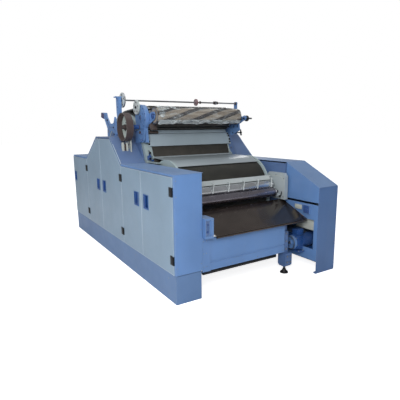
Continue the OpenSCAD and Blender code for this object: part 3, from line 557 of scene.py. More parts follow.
# Axes of the parts that turn: the two drums as in part.scad, the others from the frame's own boxes.
CYL_Y, CYL_Z, CYL_R = 0.306, 0.990, 0.645
DOFFER_Y, DOFFER_Z = -0.669, 0.775
BRUSH_Y, BRUSH_Z = mid("brush_roller")[1:]
WHEEL_Y, WHEEL_Z = mid("drive_wheel")[1:]
TOP_Y, TOP_Z = mid("top_shaft")[1:]
DISC_Y, DISC_Z = mid("side_disc")[1:]
KNOB_Y, KNOB_Z = mid("adjust_knob")[1:]
NUT_Y, NUT_Z = mid("wing_nut")[1:]

# Distances from the machine's middle plane to the faces of its sides.
DOOR_BACK, DOOR_FACE, PULL_FACE, HINGE_FACE, PLINTH_FACE = 0.8735, 0.892, 0.8935, 0.8996, 0.8882


def facing(bm, side, near, far, lo, hi, r, seg=2):
    """Rounded box on one side of the machine, between two distances from its middle plane."""
    x0, x1 = sorted((side * near, side * far))
    rbox(bm, (x0, *lo), (x1, *hi), r, seg)


# ---------- doors, pulls and hinges ----------

DOORS = {
    "1": ((-1.459, -0.826), 1.077, None), "2": ((-0.822, -0.316), 1.077, None),
    "3": ((-0.310, 0.368), 1.352, "near"), "4": ((0.372, 0.949), 1.352, "far"), "5": ((0.955, 1.640), 1.077, None),
}
PULLS = {"1": -0.934, "2": -0.7145, "3": 0.260, "4": 0.4795, "5": 1.568}
PULL_Z = 0.798


def door_outline(key, side):
    """Corner points (y, z) of a door leaf, anticlockwise from its lower near corner."""
    (y0, y1), top, slope = DOORS[key]
    if side > 0 and key == "1":
        return [(-1.614, 0.254), (y1, 0.254), (y1, 1.077), (-1.190, 1.077), (-1.614, 0.866)]
    if slope == "near":
        return [(y0, 0.254), (y1, 0.254), (y1, 1.352), (0.014, 1.352), (y0, 1.077)]
    if slope == "far":
        return [(y0, 0.254), (y1, 0.254), (y1, 1.077), (0.479, 1.352), (y0, 1.352)]
    return [(y0, 0.254), (y1, 0.254), (y1, top), (y0, top)]


def edge_frame(bm, pts, x, side, width=0.0055, proud=0.0007):
    """Raised fold along a door's rim: an inset loop of the outline, slightly proud of the face."""
    n = len(pts)

    def inset(w):
        out = []
        for i in range(n):
            a, b, c = Vector(pts[i - 1]), Vector(pts[i]), Vector(pts[(i + 1) % n])
            d1, d2 = (b - a).normalized(), (c - b).normalized()
            n1, n2 = Vector((-d1.y, d1.x)), Vector((-d2.y, d2.x))
            out.append(b + (n1 + n2) * (w / (1 + n1.dot(n2))))
        return out

    skin(bm, [[bm.verts.new((x + side * h, p.x, p.y)) for p in inset(w)]
              for w, h in ((0.0004, 0.0), (0.0010, proud), (width - 0.0008, proud), (width, 0.0))])


def door_details(key, side):
    tag = TAG[side] + key
    body = body_of("door_" + tag)
    pts = door_outline(key, side)
    y0, y1 = pts[0][0], pts[1][0]
    # the door's rim fold is painted pale: a painted edge highlight
    group("door_fold_highlight_" + tag, EDGE_HIGHLIGHT, body, lambda bm: edge_frame(bm, pts, side * DOOR_FACE, side), 0)

    def stiffeners(bm):
        for z in (0.42, 0.66, 0.96):
            near = -1.360 if y0 < -1.5 and z > 0.9 else y0 + 0.075
            facing(bm, side, DOOR_BACK - 0.004, DOOR_BACK, (near, z - 0.014), (y1 - 0.075, z + 0.014), 0.0015)
    group("door_ribs_" + tag, DOOR, body, stiffeners)

    def gasket(bm):
        for y in (y0 + 0.062, y1 - 0.066):
            facing(bm, side, DOOR_BACK - 0.0025, DOOR_BACK, (y, 0.262), (y + 0.004, 0.335), 0.001)
    group("door_gasket_" + tag, RUBBER, body, gasket)


def pull_details(key, side):
    tag = TAG[side] + key
    body = body_of("door_" + tag)
    y, z = PULLS[key], PULL_Z

    def bezel(bm):
        # thin moulded frame round the recess
        (ya, za), (yb, zb) = (y - 0.0565, z - 0.0705), (y + 0.0565, z + 0.0705)
        w = 0.0052
        for lo, hi in (((ya, za), (yb, za + w)), ((ya, zb - w), (yb, zb)),
                       ((ya, za + w * 0.9), (ya + w, zb - w * 0.9)), ((yb - w, za + w * 0.9), (yb, zb - w * 0.9))):
            facing(bm, side, PULL_FACE + 0.0002, PULL_FACE + 0.0016, lo, hi, 0.0006)
    group("pull_bezel_" + tag, PULL_LIGHT, body, bezel)

    def inside(bm):
        # finger lip that hangs from the outer side of the cup, and ribs on its floor
        facing(bm, side, 0.8795, 0.8925, (y + 0.016, z - 0.052), (y + 0.030, z + 0.058), 0.003, 3)
        for k in range(4):
            yy = y - 0.038 + k * 0.012
            facing(bm, side, 0.8772, 0.8786, (yy - 0.0012, z - 0.046), (yy + 0.0012, z + 0.052), 0.0005)
    group("pull_grip_" + tag, PULL, body, inside)
    fixings("pull_screws_" + tag, ZINC, body,
            (screw, (side, 0, 0), [(side * PULL_FACE, y + 0.046, z + dz) for dz in (-0.046, 0.046)], 0.0035, 0.0013))


def hinge_details(side):
    edge = (-1.432, 0.044, (0.380, 0.956)) if side < 0 else (-1.586, 0.044, (0.380, 0.800))
    blocks = [(y, w, z) for y, w, zs in (edge, (-0.2965, 0.056, (0.380, 0.956)), (0.9685, 0.056, (0.380, 0.956)))
              for z in zs]

    def plates(bm):
        for y, w, z in blocks:
            facing(bm, side, HINGE_FACE - 0.0014, HINGE_FACE, (y - w / 2, z - 0.034), (y + w / 2, z + 0.034), 0.0007)
    group("hinge_faces_" + TAG[side], BLACK, ROOT, plates)
    heads = [(side * HINGE_FACE, y + dy, z + dz) for y, w, z in blocks
             for dy in (-w * 0.28, w * 0.28) for dz in (-0.022, 0.022)]
    fixings("hinge_screws_" + TAG[side], DARK_STEEL, ROOT, (screw, (side, 0, 0), heads, 0.0048, 0.0018))


for side in (-1, 1):
    for key in DOORS:
        door_details(key, side)
        pull_details(key, side)
hinge_details(-1)
hinge_details(1)


# ---------- cabinets, hoods and panels ----------

HOOD_LINE = [(-0.311, 1.1015), (0.004, 1.3752), (0.489, 1.3752), (0.950, 1.1015)]


def hood_edges(side):
    """Folded seams where the hood meets the side, on the slopes and the flat top, painted light as an edge highlight.
    """
    legs = list(zip(HOOD_LINE, HOOD_LINE[1:]))
    x0, x1 = sorted((side * 0.8885, side * 0.8795))
    group("hood_fold_highlight_" + TAG[side], EDGE_HIGHLIGHT, ROOT, lambda bm: [strip(bm, x0, x1, p, q, 0.0012, 0.0005) for p, q in legs])

    def screws(bm):
        for p, q in legs:
            p, q = Vector(p), Vector(q)
            d = (q - p).normalized()
            for t in (0.12, 0.5, 0.88):
                c = p.lerp(q, t) + Vector((-d.y, d.x)) * 0.0004
                for xx in (0.655, 0.868):
                    screw(bm, (side * xx, c.x, c.y), (0, -d.y, d.x), 0.0055, 0.0022)
    group("hood_screws_" + TAG[side], ZINC, ROOT, screws)


hood_edges(-1)
hood_edges(1)
fixings("panel_screws", ZINC, ROOT,
        (screw, NEAR, [(x, -1.4842, z) for z in (0.32, 0.62, 0.92, 1.05) for x in (-0.874, -0.642)], 0.0045, 0.0018),
        (screw, NEAR, [(0.868, -1.6432, z) for z in (0.30, 0.56, 0.82)], 0.0045, 0.0018),
        *((screw, (s, 0, 0), [(s * PLINTH_FACE, y, z) for z in (0.06, 0.20) for y in (-1.35, -0.62, 0.12, 0.86, 1.52)],
           0.0052, 0.002) for s in (-1, 1)))
fixings("apron_screws", ZINC, ROOT,
        (screw, NEAR, [(x, -1.4682, z) for x in (-0.585, -0.30, 0.0, 0.328) for z in (0.256, 0.505)], 0.0045, 0.0018),
        (screw, NEAR, [(x, -1.4792, z) for z in (0.28, 0.40, 0.51) for x in (-0.585, -0.612)], 0.0042, 0.0018))

# Set-back panel over the motor bay: its lining and two sensor boxes.
boxes("bay_lining", CREAM, ROOT, ((0.648, -1.585, 0.430), (0.651, -1.330, 0.546), 0.001),
      ((0.645, -1.580, 0.436), (0.648, -1.574, 0.540), 0.001), ((0.645, -1.341, 0.436), (0.648, -1.335, 0.540), 0.001))
boxes("sensor_cover_pale", CREAM, ROOT, ((0.6035, -1.438, 0.633), (0.6058, -1.343, 0.680), 0.001, 3),
      ((0.6018, -1.418, 0.643), (0.6035, -1.363, 0.670), 0.0008))
boxes("sensor_cover_dark", DARK_BLUE, ROOT, ((0.5995, -1.538, 0.605), (0.6018, -1.462, 0.685), 0.001, 3),
      ((0.5975, -1.520, 0.615), (0.5995, -1.490, 0.650), 0.0008))
fixings("sensor_screws", ZINC, ROOT,
        (screw, LEFT, [(0.6035, y, z) for z in (0.638, 0.675) for y in (-1.433, -1.348)], 0.0028, 0.0012),
        (screw, LEFT, [(0.5995, y, z) for z in (0.611, 0.679) for y in (-1.532, -1.468)], 0.0028, 0.0012))


# ---------- arches over the cylinder ----------

group("arch_strip_right", BLUE_HOOD, ROOT,
      lambda bm: arc_band(bm, 0.526, 0.5975, (CYL_Y, CYL_Z), 0.6453, 0.6465, 100, 176, 60))


def setting_screws(bm):
    for side in (-1, 1):
        for deg in (141, 150, 159, 168, 176):
            u = Vector((0, *polar(0, 0, 1, radians(deg))))
            bolt(bm, Vector((side * 0.556, CYL_Y, CYL_Z)) + u * 0.6465, u, 0.007, 0.006)


group("arch_setting_screws", ZINC, ROOT, setting_screws)
boxes("arch_bracket", DARK_BLUE, ROOT, ((-0.592, -0.346, 1.128), (-0.548, -0.330, 1.176), 0.002),
      ((-0.586, -0.362, 1.136), (-0.558, -0.344, 1.158), 0.002),
      ((-0.552, -0.352, 1.112), (-0.522, -0.338, 1.130), 0.002),
      ((-0.572, -0.340, 1.174), (-0.556, -0.324, 1.212), 0.002))
fixings("arch_bracket_bolts", BLACK, ROOT, (bolt, (0, -1, 0.2), [(-0.564, -0.340, 1.205)], 0.010, 0.010),
        (bolt, NEAR, [(-0.572, -0.362, 1.147)], 0.008, 0.008))


# ---------- front plates, tray, guard ----------

def plate_bits():
    low, high = Vector((-0.2876, 1.2694)), Vector((-0.226, 1.401))
    n, d = Vector((-0.906, 0.423)), (high - low).normalized()

    def heads(bm):
        for side in (-1, 1):
            for t, lift in ((0.16, 0.0062), (0.38, 0.0145), (0.68, 0.0145), (0.9, 0.0062)):
                p = low.lerp(high, t) + n * lift
                bolt(bm, (side * 0.541, p.x, p.y), (0, n.x, n.y), 0.0085, 0.007)
    group("plate_bolts", BLACK, ROOT, heads)
    group("plate_folds", PLATE, ROOT, lambda bm: [
        strip(bm, -0.528, 0.528, p, q, 0.0016, 0.0006, 0.0061)
        for p, q in ((low + d * 0.001, low + d * 0.007), (high - d * 0.007, high - d * 0.001))])


def tray_bits():
    """Rolled rims of the delivery tray and the screws of its support."""
    a = radians(23.2)

    def at(x, s, h=0.0):
        """Point on the tray: s along the slope from its front edge, h above its top face."""
        return Vector((x, -1.520 + s * cos(a) - (0.004 + h) * sin(a), 0.545 + s * sin(a) + (0.004 + h) * cos(a)))

    def bead(bm):
        tube(bm, [at(-0.536, 0.062, 0.0015), at(-0.536, 0.392, 0.0015)], 0.0022, 8)
        tube(bm, [at(-0.5, 0.002, 0.0012), at(-0.5365, 0.060, 0.0012)], 0.0020, 8)
        tube(bm, [at(0.596, 0.002, 0.0015), at(0.596, 0.392, 0.0015)], 0.0022, 8)
    group("tray_beads", TRAY, ROOT, bead)
    fixings("tray_screws", ZINC, ROOT,
            (screw, (0, -sin(a), cos(a)), [at(x, 0.372) for x in (-0.46, -0.15, 0.15, 0.46)], 0.0045, 0.0018))


plate_bits()
tray_bits()
boxes("bracket_window", BLUE_DEEP, ROOT, ((-0.612, -1.5195, 0.570), (-0.578, -1.5182, 0.690), 0.0005))
fixings("bracket_bolts", DARK_BLUE, ROOT, (bolt, NEAR, [(-0.597, -1.5197, z) for z in (0.662, 0.600)], 0.0085, 0.007))
fixings("bracket_cap", ZINC, ROOT, (screw, NEAR, [(-0.556, -1.5302, z) for z in (0.56, 0.70)], 0.004, 0.0016))
fixings("guard_bolts", ZINC, ROOT,
        (bolt, NEAR, [(x, mid("stripping_roller")[1] + 0.002, 0.935) for x in (-0.500, 0.500)], 0.007, 0.006))


# ---------- rollers: collars, journals and bands ----------

for node in ("stripping_roller", "web_roller"):
    y, z = mid(node)[1:]
    r = (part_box(node)[1][2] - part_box(node)[0][2]) / 2
    rings(node + "_bands", STEEL, body_of(node),
          *((x, x + 0.008, y, z, r - 0.006, r + 0.0012, 48, 0.0006) for x in (-0.505, 0.497)))
rings("doffer_rims", STEEL, body_of("doffer"),
      *((x, x + 0.006, DOFFER_Y, DOFFER_Z, 0.338, 0.3526, 96, 0.001) for x in (-0.514, 0.508)))
rings("cylinder_rims", STEEL, body_of("main_cylinder"),
      *((x, x + 0.0035, CYL_Y, CYL_Z, 0.630, 0.6445, 128, 0.0008) for x in (-0.5115, 0.508)))


# ---------- revolving flats ----------

def flat_seats():
    """Places (point, angle) of the flats that run outside the working arc, in the order of the chain."""
    path_r, turn, rear = CYL_R + 0.021, radians(130.8), radians(38)
    front_r, rear_r, ret_r = 0.108, 0.060, path_r + 0.004
    cyl = Vector((CYL_Y, CYL_Z))
    car, rcar = Vector(polar(*cyl, path_r + front_r, turn)), Vector(polar(*cyl, path_r + rear_r, rear))
    ret = turn - acos((ret_r - front_r) / (path_r + front_r))
    end = rear + acos((ret_r - rear_r) / (path_r + rear_r))
    seats = []

    def pol(c, r, a):
        return c + Vector((cos(a), sin(a))) * r

    def rnd(c, r, a0, a1, n):
        for i in range(n):
            a = a0 + (a1 - a0) * (i + 0.5) / n
            seats.append((pol(c, r, a), a))

    def run(p, q, n):
        a = atan2(q.y - p.y, q.x - p.x) + pi / 2
        for i in range(n):
            seats.append((p + (q - p) * (i + 0.5) / n, a))

    rnd(car, 0.109, turn + radians(170), ret + radians(6), 9)
    run(pol(car, 0.109, ret), pol(cyl, ret_r, ret), 11)
    rnd(cyl, ret_r, ret - radians(2), end + radians(2), 3)
    run(pol(cyl, ret_r, end), pol(rcar, 0.061, end), 8)
    rnd(rcar, 0.061, end - radians(16), rear - radians(158), 4)
    return seats


def flat_bits():
    """End shoes and a clothing strip on the back of those flats, and the chains at their ends."""
    seats = flat_seats()

    def place(p, a):
        # local Y along the chain, local Z outwards from the base face
        return Matrix.Translation((0, p.x, p.y)) @ Matrix.Rotation(a - pi / 2, 4, "X")

    def plates(centres, half, r):
        half = Vector(half)

        def draw(bm):
            for p, a in seats:
                m = place(p, a)
                for c in centres:
                    rbox(bm, -half, half, r, 1, Matrix.Translation(m @ Vector(c)) @ m.to_3x3().to_4x4())
        return draw

    def chain(bm):
        for side in (-1, 1):
            for (p, a), (q, b) in zip(seats, seats[1:]):
                if (q - p).length > 0.075:
                    continue
                pa, qa = (place(c, k) @ Vector((side * 0.5475, 0, 0.010)) for c, k in ((p, a), (q, b)))
                tube(bm, [pa, (pa + qa) / 2, qa], 0.0022, 6)
    shoes = [(-0.532, 0, 0.0212), (0.532, 0, 0.0212)]
    group("flat_end_shoes", STEEL, ROOT, plates(shoes, (0.0125, 0.0150, 0.0012), 0.0008))
    group("flat_clothing", LICK, ROOT, plates([(0, 0, 0.0214)], (0.512, 0.0115, 0.0014), 0.0006))
    group("flat_chains", STEEL, ROOT, chain)


flat_bits()


# ---------- spiral brush and its wrapping film ----------

BRUSH = body_of("brush_roller")
FILM_R, LUMP_R, HEM_R = 0.0965, 0.0982, 0.0990


def spiral(bm):
    """Five brush strips wound in a long helix, each a low crowned ridge of bristles."""
    winds, r0, r1, n = 0.68, 0.0825, 0.0925, 150
    ridge = ((-0.022, r0), (-0.019, r0 + 0.008), (-0.011, r1), (0.0, r1 + 0.0008),
             (0.011, r1), (0.019, r0 + 0.008), (0.022, r0))
    for start in [0.35 + 2 * pi * k / 5 for k in range(5)]:
        rows = []
        for i in range(n + 1):
            t = i / n
            a = start - 2 * pi * winds * t
            row = []
            for u, r in ridge:
                jig = 0.0007 * sin(i * 2.7 + u * 300) if r > r0 else 0
                row.append(bm.verts.new((-0.534 + 1.068 * t, *polar(BRUSH_Y, BRUSH_Z, r + jig, a + u / 0.089))))
            rows.append(row)
        skin(bm, rows, caps=True)


group("brush_spiral", BRISTLE, BRUSH, spiral, 60)
rings("brush_collars", ZINC, BRUSH, (-0.5415, -0.5355, BRUSH_Y, BRUSH_Z, 0.072, 0.0855, 48),
      (0.5355, 0.5415, BRUSH_Y, BRUSH_Z, 0.072, 0.0855, 48))


def film():
    """Clear film wound once round the brush, with bunched ends and a loose lower hem."""
    n, m = 150, 72
    a0, a1 = radians(-62), radians(238)
    x0, x1 = -0.531, 0.528
    grid = []
    bm = bmesh.new()
    for i in range(n + 1):
        t = i / n
        bunch = exp(-((t - 0.03) / 0.075) ** 2)
        row = []
        for j in range(m + 1):
            a = a0 + (a1 - a0) * (j / m)
            wrinkle = 0.0010 * sin(31 * t + 9 * a) + 0.0008 * sin(57 * t - 13 * a + 1.3)
            gather = bunch * (0.0022 * sin(11 * a + 40 * t) + 0.0016) * (0.5 - 0.5 * cos(a))
            row.append(bm.verts.new((x0 + (x1 - x0) * t, *polar(BRUSH_Y, BRUSH_Z, FILM_R + wrinkle + gather, a))))
        grid.append(row)
    skin(bm, grid, wrap=False)
    cover = add("film_cover", bm, FILM, ROOT, 180)

    bm = bmesh.new()
    rows = []
    for i in range(n + 1):
        t = i / n
        drop = 0.007 + 0.005 * sin(19 * t) + 0.003 * sin(43 * t + 1.0) + 0.002 * sin(87 * t)
        row = []
        for k in range(7):
            f = k / 6
            a = radians(205) + radians(25) * min(1, f * 1.6)
            y, z = polar(BRUSH_Y, BRUSH_Z, HEM_R + 0.0012 * sin(60 * t + 3 * f), a)
            row.append(bm.verts.new((x0 + (x1 - x0) * t, y - 0.004 * f * sin(25 * t), z - drop * f)))
        rows.append(row)
    skin(bm, rows, wrap=False)
    hem = add("film_hem", bm, HEM, ROOT, 180)

    bm = bmesh.new()
    # crumpled lumps, each a shallow dome with a ragged round outline
    for cx, ang, w, h, tw in ((-0.492, 1.75, 0.084, 0.062, 0.3), (-0.440, 2.25, 0.076, 0.054, 1.4),
                              (-0.390, 1.70, 0.080, 0.044, 2.3), (-0.492, 3.00, 0.070, 0.060, 3.1),
                              (-0.335, 2.05, 0.064, 0.040, 4.0), (-0.495, 2.40, 0.070, 0.056, 5.2)):
        hub = bm.verts.new((cx, *polar(BRUSH_Y, BRUSH_Z, 0.1035, ang)))
        loops = []
        for f in [q / 7 for q in range(1, 8)]:
            loop = []
            for t in [2 * pi * k / 28 for k in range(28)]:
                rag = 1 + 0.16 * sin(3 * t + tw) + 0.10 * sin(7 * t - tw)
                u, v = f * rag * cos(t), f * rag * sin(t)
                r = LUMP_R + 0.0055 * (1 - f * f) + 0.0016 * sin(9 * u + 7 * v + tw) * (1 - f)
                loop.append(bm.verts.new((cx + u * w / 2, *polar(BRUSH_Y, BRUSH_Z, r, ang + v * h / 2 / 0.099))))
            loops.append(loop)
        for k, v in enumerate(loops[0]):
            bm.faces.new((hub, v, loops[0][(k + 1) % 28]))
        skin(bm, loops)
    bunches = add("film_bunches", bm, BUNCH, ROOT, 180)
    return cover, hem, bunches


cover, hem, bunches = film()


# ---------- drive wheel, discs and the upper shaft ----------

def around(y, z, r, n, phase):
    """n points evenly spread on a circle about (y, z), or about any other pair of coordinates."""
    return [polar(y, z, r, 2 * pi * k / n + phase) for k in range(n)]


def wheel_bits(y, z):
    body = body_of("drive_wheel")
    # a pressed pale dish on the wheel's web, open in the middle for the hub
    prof = [(-0.7324, 0.034), (-0.7390, 0.040), (-0.7400, 0.058), (-0.7350, 0.068),
            (-0.7345, 0.116), (-0.7390, 0.128), (-0.7400, 0.1390), (-0.7324, 0.1405)]
    group("wheel_dish", DISC, body, lambda bm: skin(bm, turns(bm, prof, y, z, 64), closed=True))
    rings("wheel_rim_beads", RIM, body, (-0.7976, -0.7956, y, z, 0.1435, 0.1515, 64, 0.0008),
          (-0.7224, -0.7204, y, z, 0.1435, 0.1515, 64, 0.0008))
    rings("wheel_hub_rings", BLACK, body, (-0.7684, -0.7636, y, z, 0.0215, 0.0302, 40),
          (-0.7912, -0.7880, y, z, 0.0105, 0.0215, 32, 0.001))
    fixings("wheel_bolts", BLACK, body,
            (bolt, LEFT, [(-0.7398, *p) for p in around(y, z, 0.049, 6, 0.3)], 0.0062, 0.006),
            (bolt, RIGHT, [(-0.7258, *p) for p in around(y, z, 0.100, 4, 0.5)], 0.0055, 0.003))
    rings("wheel_sleeve", DARK_BLUE, body, (-0.700, -0.606, y, z, 0.0222, 0.0246, 40, 0.0008))


def pale_disc(name, body, x, y, z, r, s):
    """Pressed disc with a rolled rim, dark rings painted where its lightening holes open as painted shade, and a hub
    nut.
    """
    prof = [(x, 0.018), (x + s * 0.0030, 0.019), (x + s * 0.0032, 0.030), (x + s * 0.0014, 0.036),
            (x + s * 0.0014, r - 0.012), (x + s * 0.0030, r - 0.007), (x + s * 0.0030, r - 0.002), (x, r - 0.0005)]
    group(name + "_face", WHITE, body, lambda bm: skin(bm, turns(bm, prof, y, z, 56), closed=True))
    x0, x1 = sorted((x + s * 0.0012, x + s * 0.0034))
    # dark rings at the lightening holes: painted shade, no holes are cut
    rings(name + "_hole_shade", BROWN, body,
          *((x0, x1, *p, 0.0025, 0.0090, 20, 0.0006) for p in around(y, z, 0.055 * r / 0.08, 5, 0.4)))
    fixings(name + "_nut", BLACK, body, (bolt, (s, 0, 0), [(x + s * 0.0002, y, z)], 0.0125, 0.0095))


def shaft_bits(y, z):
    body = body_of("top_shaft")

    def hoop(bm):
        # spoked hoop on the shaft: rim, hub and five spokes
        ring(bm, 0.236, 0.254, y, z, 0.0345, 0.0412, 40, 0.0016)
        ring(bm, 0.234, 0.256, y, z, 0.0095, 0.0160, 28, 0.0012)
        for p, q in zip(around(y, z, 0.014, 5, 0.2), around(y, z, 0.036, 5, 0.2)):
            for x in (0.2385, 0.2515):
                tube(bm, [(x, *p), (x, *q)], 0.0024, 8)
    group("shaft_hoop", PINK, body, hoop)
    collars = (-0.690, 0.300, 0.505, 0.556, 0.848)
    rings("shaft_collars", BROWN, body, *((x, x + 0.014, y, z, 0.0092, 0.0165, 28, 0.001) for x in collars))
    fixings("shaft_set_screws", BLACK, body,
            (bolt, UP, [(x + 0.007, y, z + 0.0163) for x in collars], 0.0035, 0.004, False))


wheel_bits(WHEEL_Y, WHEEL_Z)
pale_disc("shaft_disc", body_of("top_shaft"), -0.7151, TOP_Y, TOP_Z, 0.081, -1)
pale_disc("shaft_disc_back", body_of("top_shaft"), -0.7029, TOP_Y, TOP_Z, 0.081, 1)
pale_disc("side_disc", body_of("side_disc"), -0.6161, DISC_Y, DISC_Z, 0.077, -1)
shaft_bits(TOP_Y, TOP_Z)


# ---------- lever, post, brackets and casing ----------

def lever_bits():
    body = body_of("lever")
    grip = Matrix.Translation((-0.775, 0.512, 1.622)) @ Matrix.Rotation(radians(14), 4, "X")
    boxes("lever_grip", PURPLE, body, ((-0.0145, -0.044, -0.029), (0.0145, 0.044, 0.029), 0.006, 3, grip))
    # pressed stiffening rib on the lever's outer face
    legs = (((0.096, 1.440), (0.160, 1.482)), ((0.160, 1.482), (0.290, 1.480)),
            ((0.290, 1.480), (0.404, 1.604)), ((0.096, 1.560), (0.106, 1.500)))
    group("lever_rib", BLUE_DEEP, body,
          lambda bm: [strip(bm, -0.7848, -0.7812, p, q, 0.010, 0.0014, -0.005) for p, q in legs])
    fixings("lever_pins", BLACK, body, (bolt, LEFT, [(-0.7812, 0.346, 1.566)], 0.008, 0.007),
            (bolt, LEFT, [(-0.7812, 0.146, 1.480)], 0.0075, 0.006),
            (bolt, LEFT, [(-0.7972, 0.092, 1.404)], 0.008, 0.006))

    def spring(bm):
        # return spring hooked to the lever, wound round its own axis
        a, b = Vector((-0.764, 0.140, 1.470)), Vector((-0.764, 0.215, 1.500))
        u = Vector(RIGHT)
        v = (b - a).normalized().cross(u)
        tube(bm, [a + (b - a) * (i / 120) + 0.0042 * (cos(i * 0.62) * u + sin(i * 0.62) * v) for i in range(121)],
             0.0009, 6)
    group("lever_spring", STEEL, body, spring)


def post_bits(y, z):
    """Forked shoe under the wheel, with a dark block in the slot between its cheeks as painted shade, on the left hood.
    """
    (y0, z0), (y1, z1) = HOOD_LINE[:2]

    def hood(yy):
        return z0 + (yy - y0) * (z1 - z0) / (y1 - y0)

    def shoe(bm):
        outline = [(y - 0.016, hood(y - 0.016) + 0.0005), (y + 0.016, hood(y + 0.016) + 0.0005),
                   (y + 0.012, 1.316), (y - 0.012, 1.316)]
        for x0, x1 in ((-0.806, -0.784), (-0.760, -0.738)):
            prism(bm, x0, x1, outline, 0.0012)
    group("wheel_shoe", CREAM, ROOT, shoe)
    base = hood(y - 0.012)
    # dark block filling the fork's slot: painted shade
    group("wheel_shoe_slot_shade", BROWN, ROOT, lambda bm: prism(bm, -0.7835, -0.7605, [
        (y - 0.012, base), (y + 0.012, base + 0.021), (y + 0.010, 1.300), (y - 0.010, 1.300)], 0.001))
    heads = [(-0.7182, y + dy, 1.300 + dz) for dy in (-0.016, 0.016) for dz in (0.0, 0.12)]
    fixings("post_bolts", ZINC, ROOT, (bolt, LEFT, heads, 0.0075, 0.006))
    rings("post_cap", CREAM, ROOT, (-0.7225, -0.7182, y, z, 0.0245, 0.0295, 40))


def casing_bits(x, y, z):
    """Cover of the flats' drive: folded rim, raised centre, boss and bolts, all on its left face."""
    rim = [(x, 0.1400), (x - 0.0022, 0.1390), (x - 0.0022, 0.1320), (x, 0.1300)]
    group("casing_fold", BLUE, ROOT, lambda bm: skin(bm, turns(bm, rim, y, z, 96)))

    def ribs(bm):
        ring(bm, x - 0.006, x - 0.0001, y, z, 0.030, 0.046, 48)
        for a in [radians(100 + 42 * k) for k in range(5)]:
            strip(bm, x - 0.0035, x - 0.0001, polar(y, z, 0.052, a), polar(y, z, 0.112, a), 0.007, 0.001, -0.0035)
    group("casing_ribs", BLUE, ROOT, ribs)
    rim_bolts = [(x - 0.0003, *polar(y, z, 0.121, radians(deg))) for deg in (96, 128, 160, 192, 224, 318)]
    foot_bolts = [(-0.6222, *p) for p in ((-0.300, 1.345), (-0.262, 1.335), (-0.285, 1.410), (-0.120, 1.430))]
    fixings("casing_bolts", DARK_BLUE, ROOT, (bolt, LEFT, rim_bolts, 0.0062, 0.005),
            (bolt, LEFT, foot_bolts, 0.0085, 0.007), (bolt, LEFT, [(x - 0.0003, y, z)], 0.016, 0.010))


def top_bits():
    """Bearing housings of the brush, the block and bar by the left end of the flats, and nuts."""
    rings("brush_housings", DARK_BLUE, ROOT,
          *((x0, x1, BRUSH_Y, BRUSH_Z, 0.0145, 0.0300, 40, 0.002) for x0, x1 in ((-0.5665, -0.5535), (0.5725, 0.5860))))

    def nuts(bm):
        for k in range(3):
            a = k * 2 * pi / 3 + 0.6
            b = a + 0.5
            bolt(bm, (-0.5536, BRUSH_Y + 0.0365 * cos(a) * 0.95, BRUSH_Z + 0.0365 * sin(a) * 0.72), LEFT, 0.0052, 0.005)
            bolt(bm, (0.5722, BRUSH_Y + 0.040 * cos(b), BRUSH_Z + 0.030 * sin(b)), RIGHT, 0.0052, 0.005)
        for y, z in ((-0.262, 1.560), (-0.300, 1.520), (-0.270, 1.590)):
            bolt(bm, (-0.5532, y, z), LEFT, 0.0058, 0.005)
    group("brush_arm_nuts", BLACK, ROOT, nuts)
    boxes("brush_side_block", BROWN, ROOT, ((-0.550, -0.352, 1.446), (-0.470, -0.334, 1.518), 0.004, 3),
          ((-0.536, -0.359, 1.460), (-0.488, -0.351, 1.500), 0.002),
          ((-0.5545, -0.346, 1.470), (-0.5495, -0.300, 1.500), 0.001))

    def bar(bm):
        tube(bm, [(-0.632, -0.238, 1.4215), (-0.5975, -0.238, 1.4215)], 0.0150, 20)
        tube(bm, [(-0.5550, -0.262, 1.4215), (-0.424, -0.262, 1.4215)], 0.0140, 20)
        ring(bm, -0.5555, -0.5450, -0.262, 1.4215, 0.0138, 0.0195, 28)
    group("cleaner_stub", BROWN, ROOT, bar)

    def right(bm):
        # holes and bolts in the right bracket plate
        for y, z, r in ((-0.395, 1.500, 0.0080), (-0.300, 1.555, 0.0080), (-0.250, 1.470, 0.0070),
                        (-0.225, 1.560, 0.0065), (-0.180, 1.600, 0.0065)):
            bolt(bm, (0.5722, y, z), RIGHT, r, 0.006)
        for y, z in ((-0.420, 1.475), (-0.345, 1.475), (-0.505, 1.560)):
            ring(bm, 0.5545, 0.5560, y, z, 0.0070, 0.0125, 24, 0.0005)
    group("right_plate_bolts", BLACK, ROOT, right)
    rings("knob_collar", BLUE_DEEP, ROOT, (0.5490, 0.5558, KNOB_Y, KNOB_Z, 0.0100, 0.0185, 28, 0.001))


def knob_bits():
    body = body_of("adjust_knob")

    def grip(bm):
        # fluted hand knob: lobed outline with a turned cap
        prof = [(0.5732, 0.020), (0.5732, 0.0290), (0.5762, 0.0325),
                (0.5975, 0.0325), (0.6005, 0.0290), (0.6005, 0.0095)]
        angles = [2 * pi * i / 72 for i in range(72)]
        skin(bm, [[bm.verts.new((x, *polar(KNOB_Y, KNOB_Z, r + (0.0012 * cos(8 * a) if r > 0.028 else 0), a)))
                   for a in angles] for x, r in prof], closed=True)
    group("knob_grip", BLACK, body, grip)
    group("knob_thread", STEEL, body, lambda bm: thread(bm, 0.604, 0.052, KNOB_Y, KNOB_Z, 0.0092, 0.0006, 260))
    body = body_of("wing_nut")

    def wings(bm):
        for s in (-1, 1):
            path = [(0.004 * sin(t * pi), t) for t in [i / 12 for i in range(13)]]
            tube(bm, [(0.6765 + bow, NUT_Y + s * (0.004 + bow), NUT_Z + s * (0.012 + 0.0235 * t)) for bow, t in path],
                 0.0062, 10)
    group("wing_lobes", BLACK, body, wings)
    group("wing_thread", STEEL, body, lambda bm: thread(bm, 0.590, 0.074, NUT_Y, NUT_Z, 0.0082, 0.0006, 330))


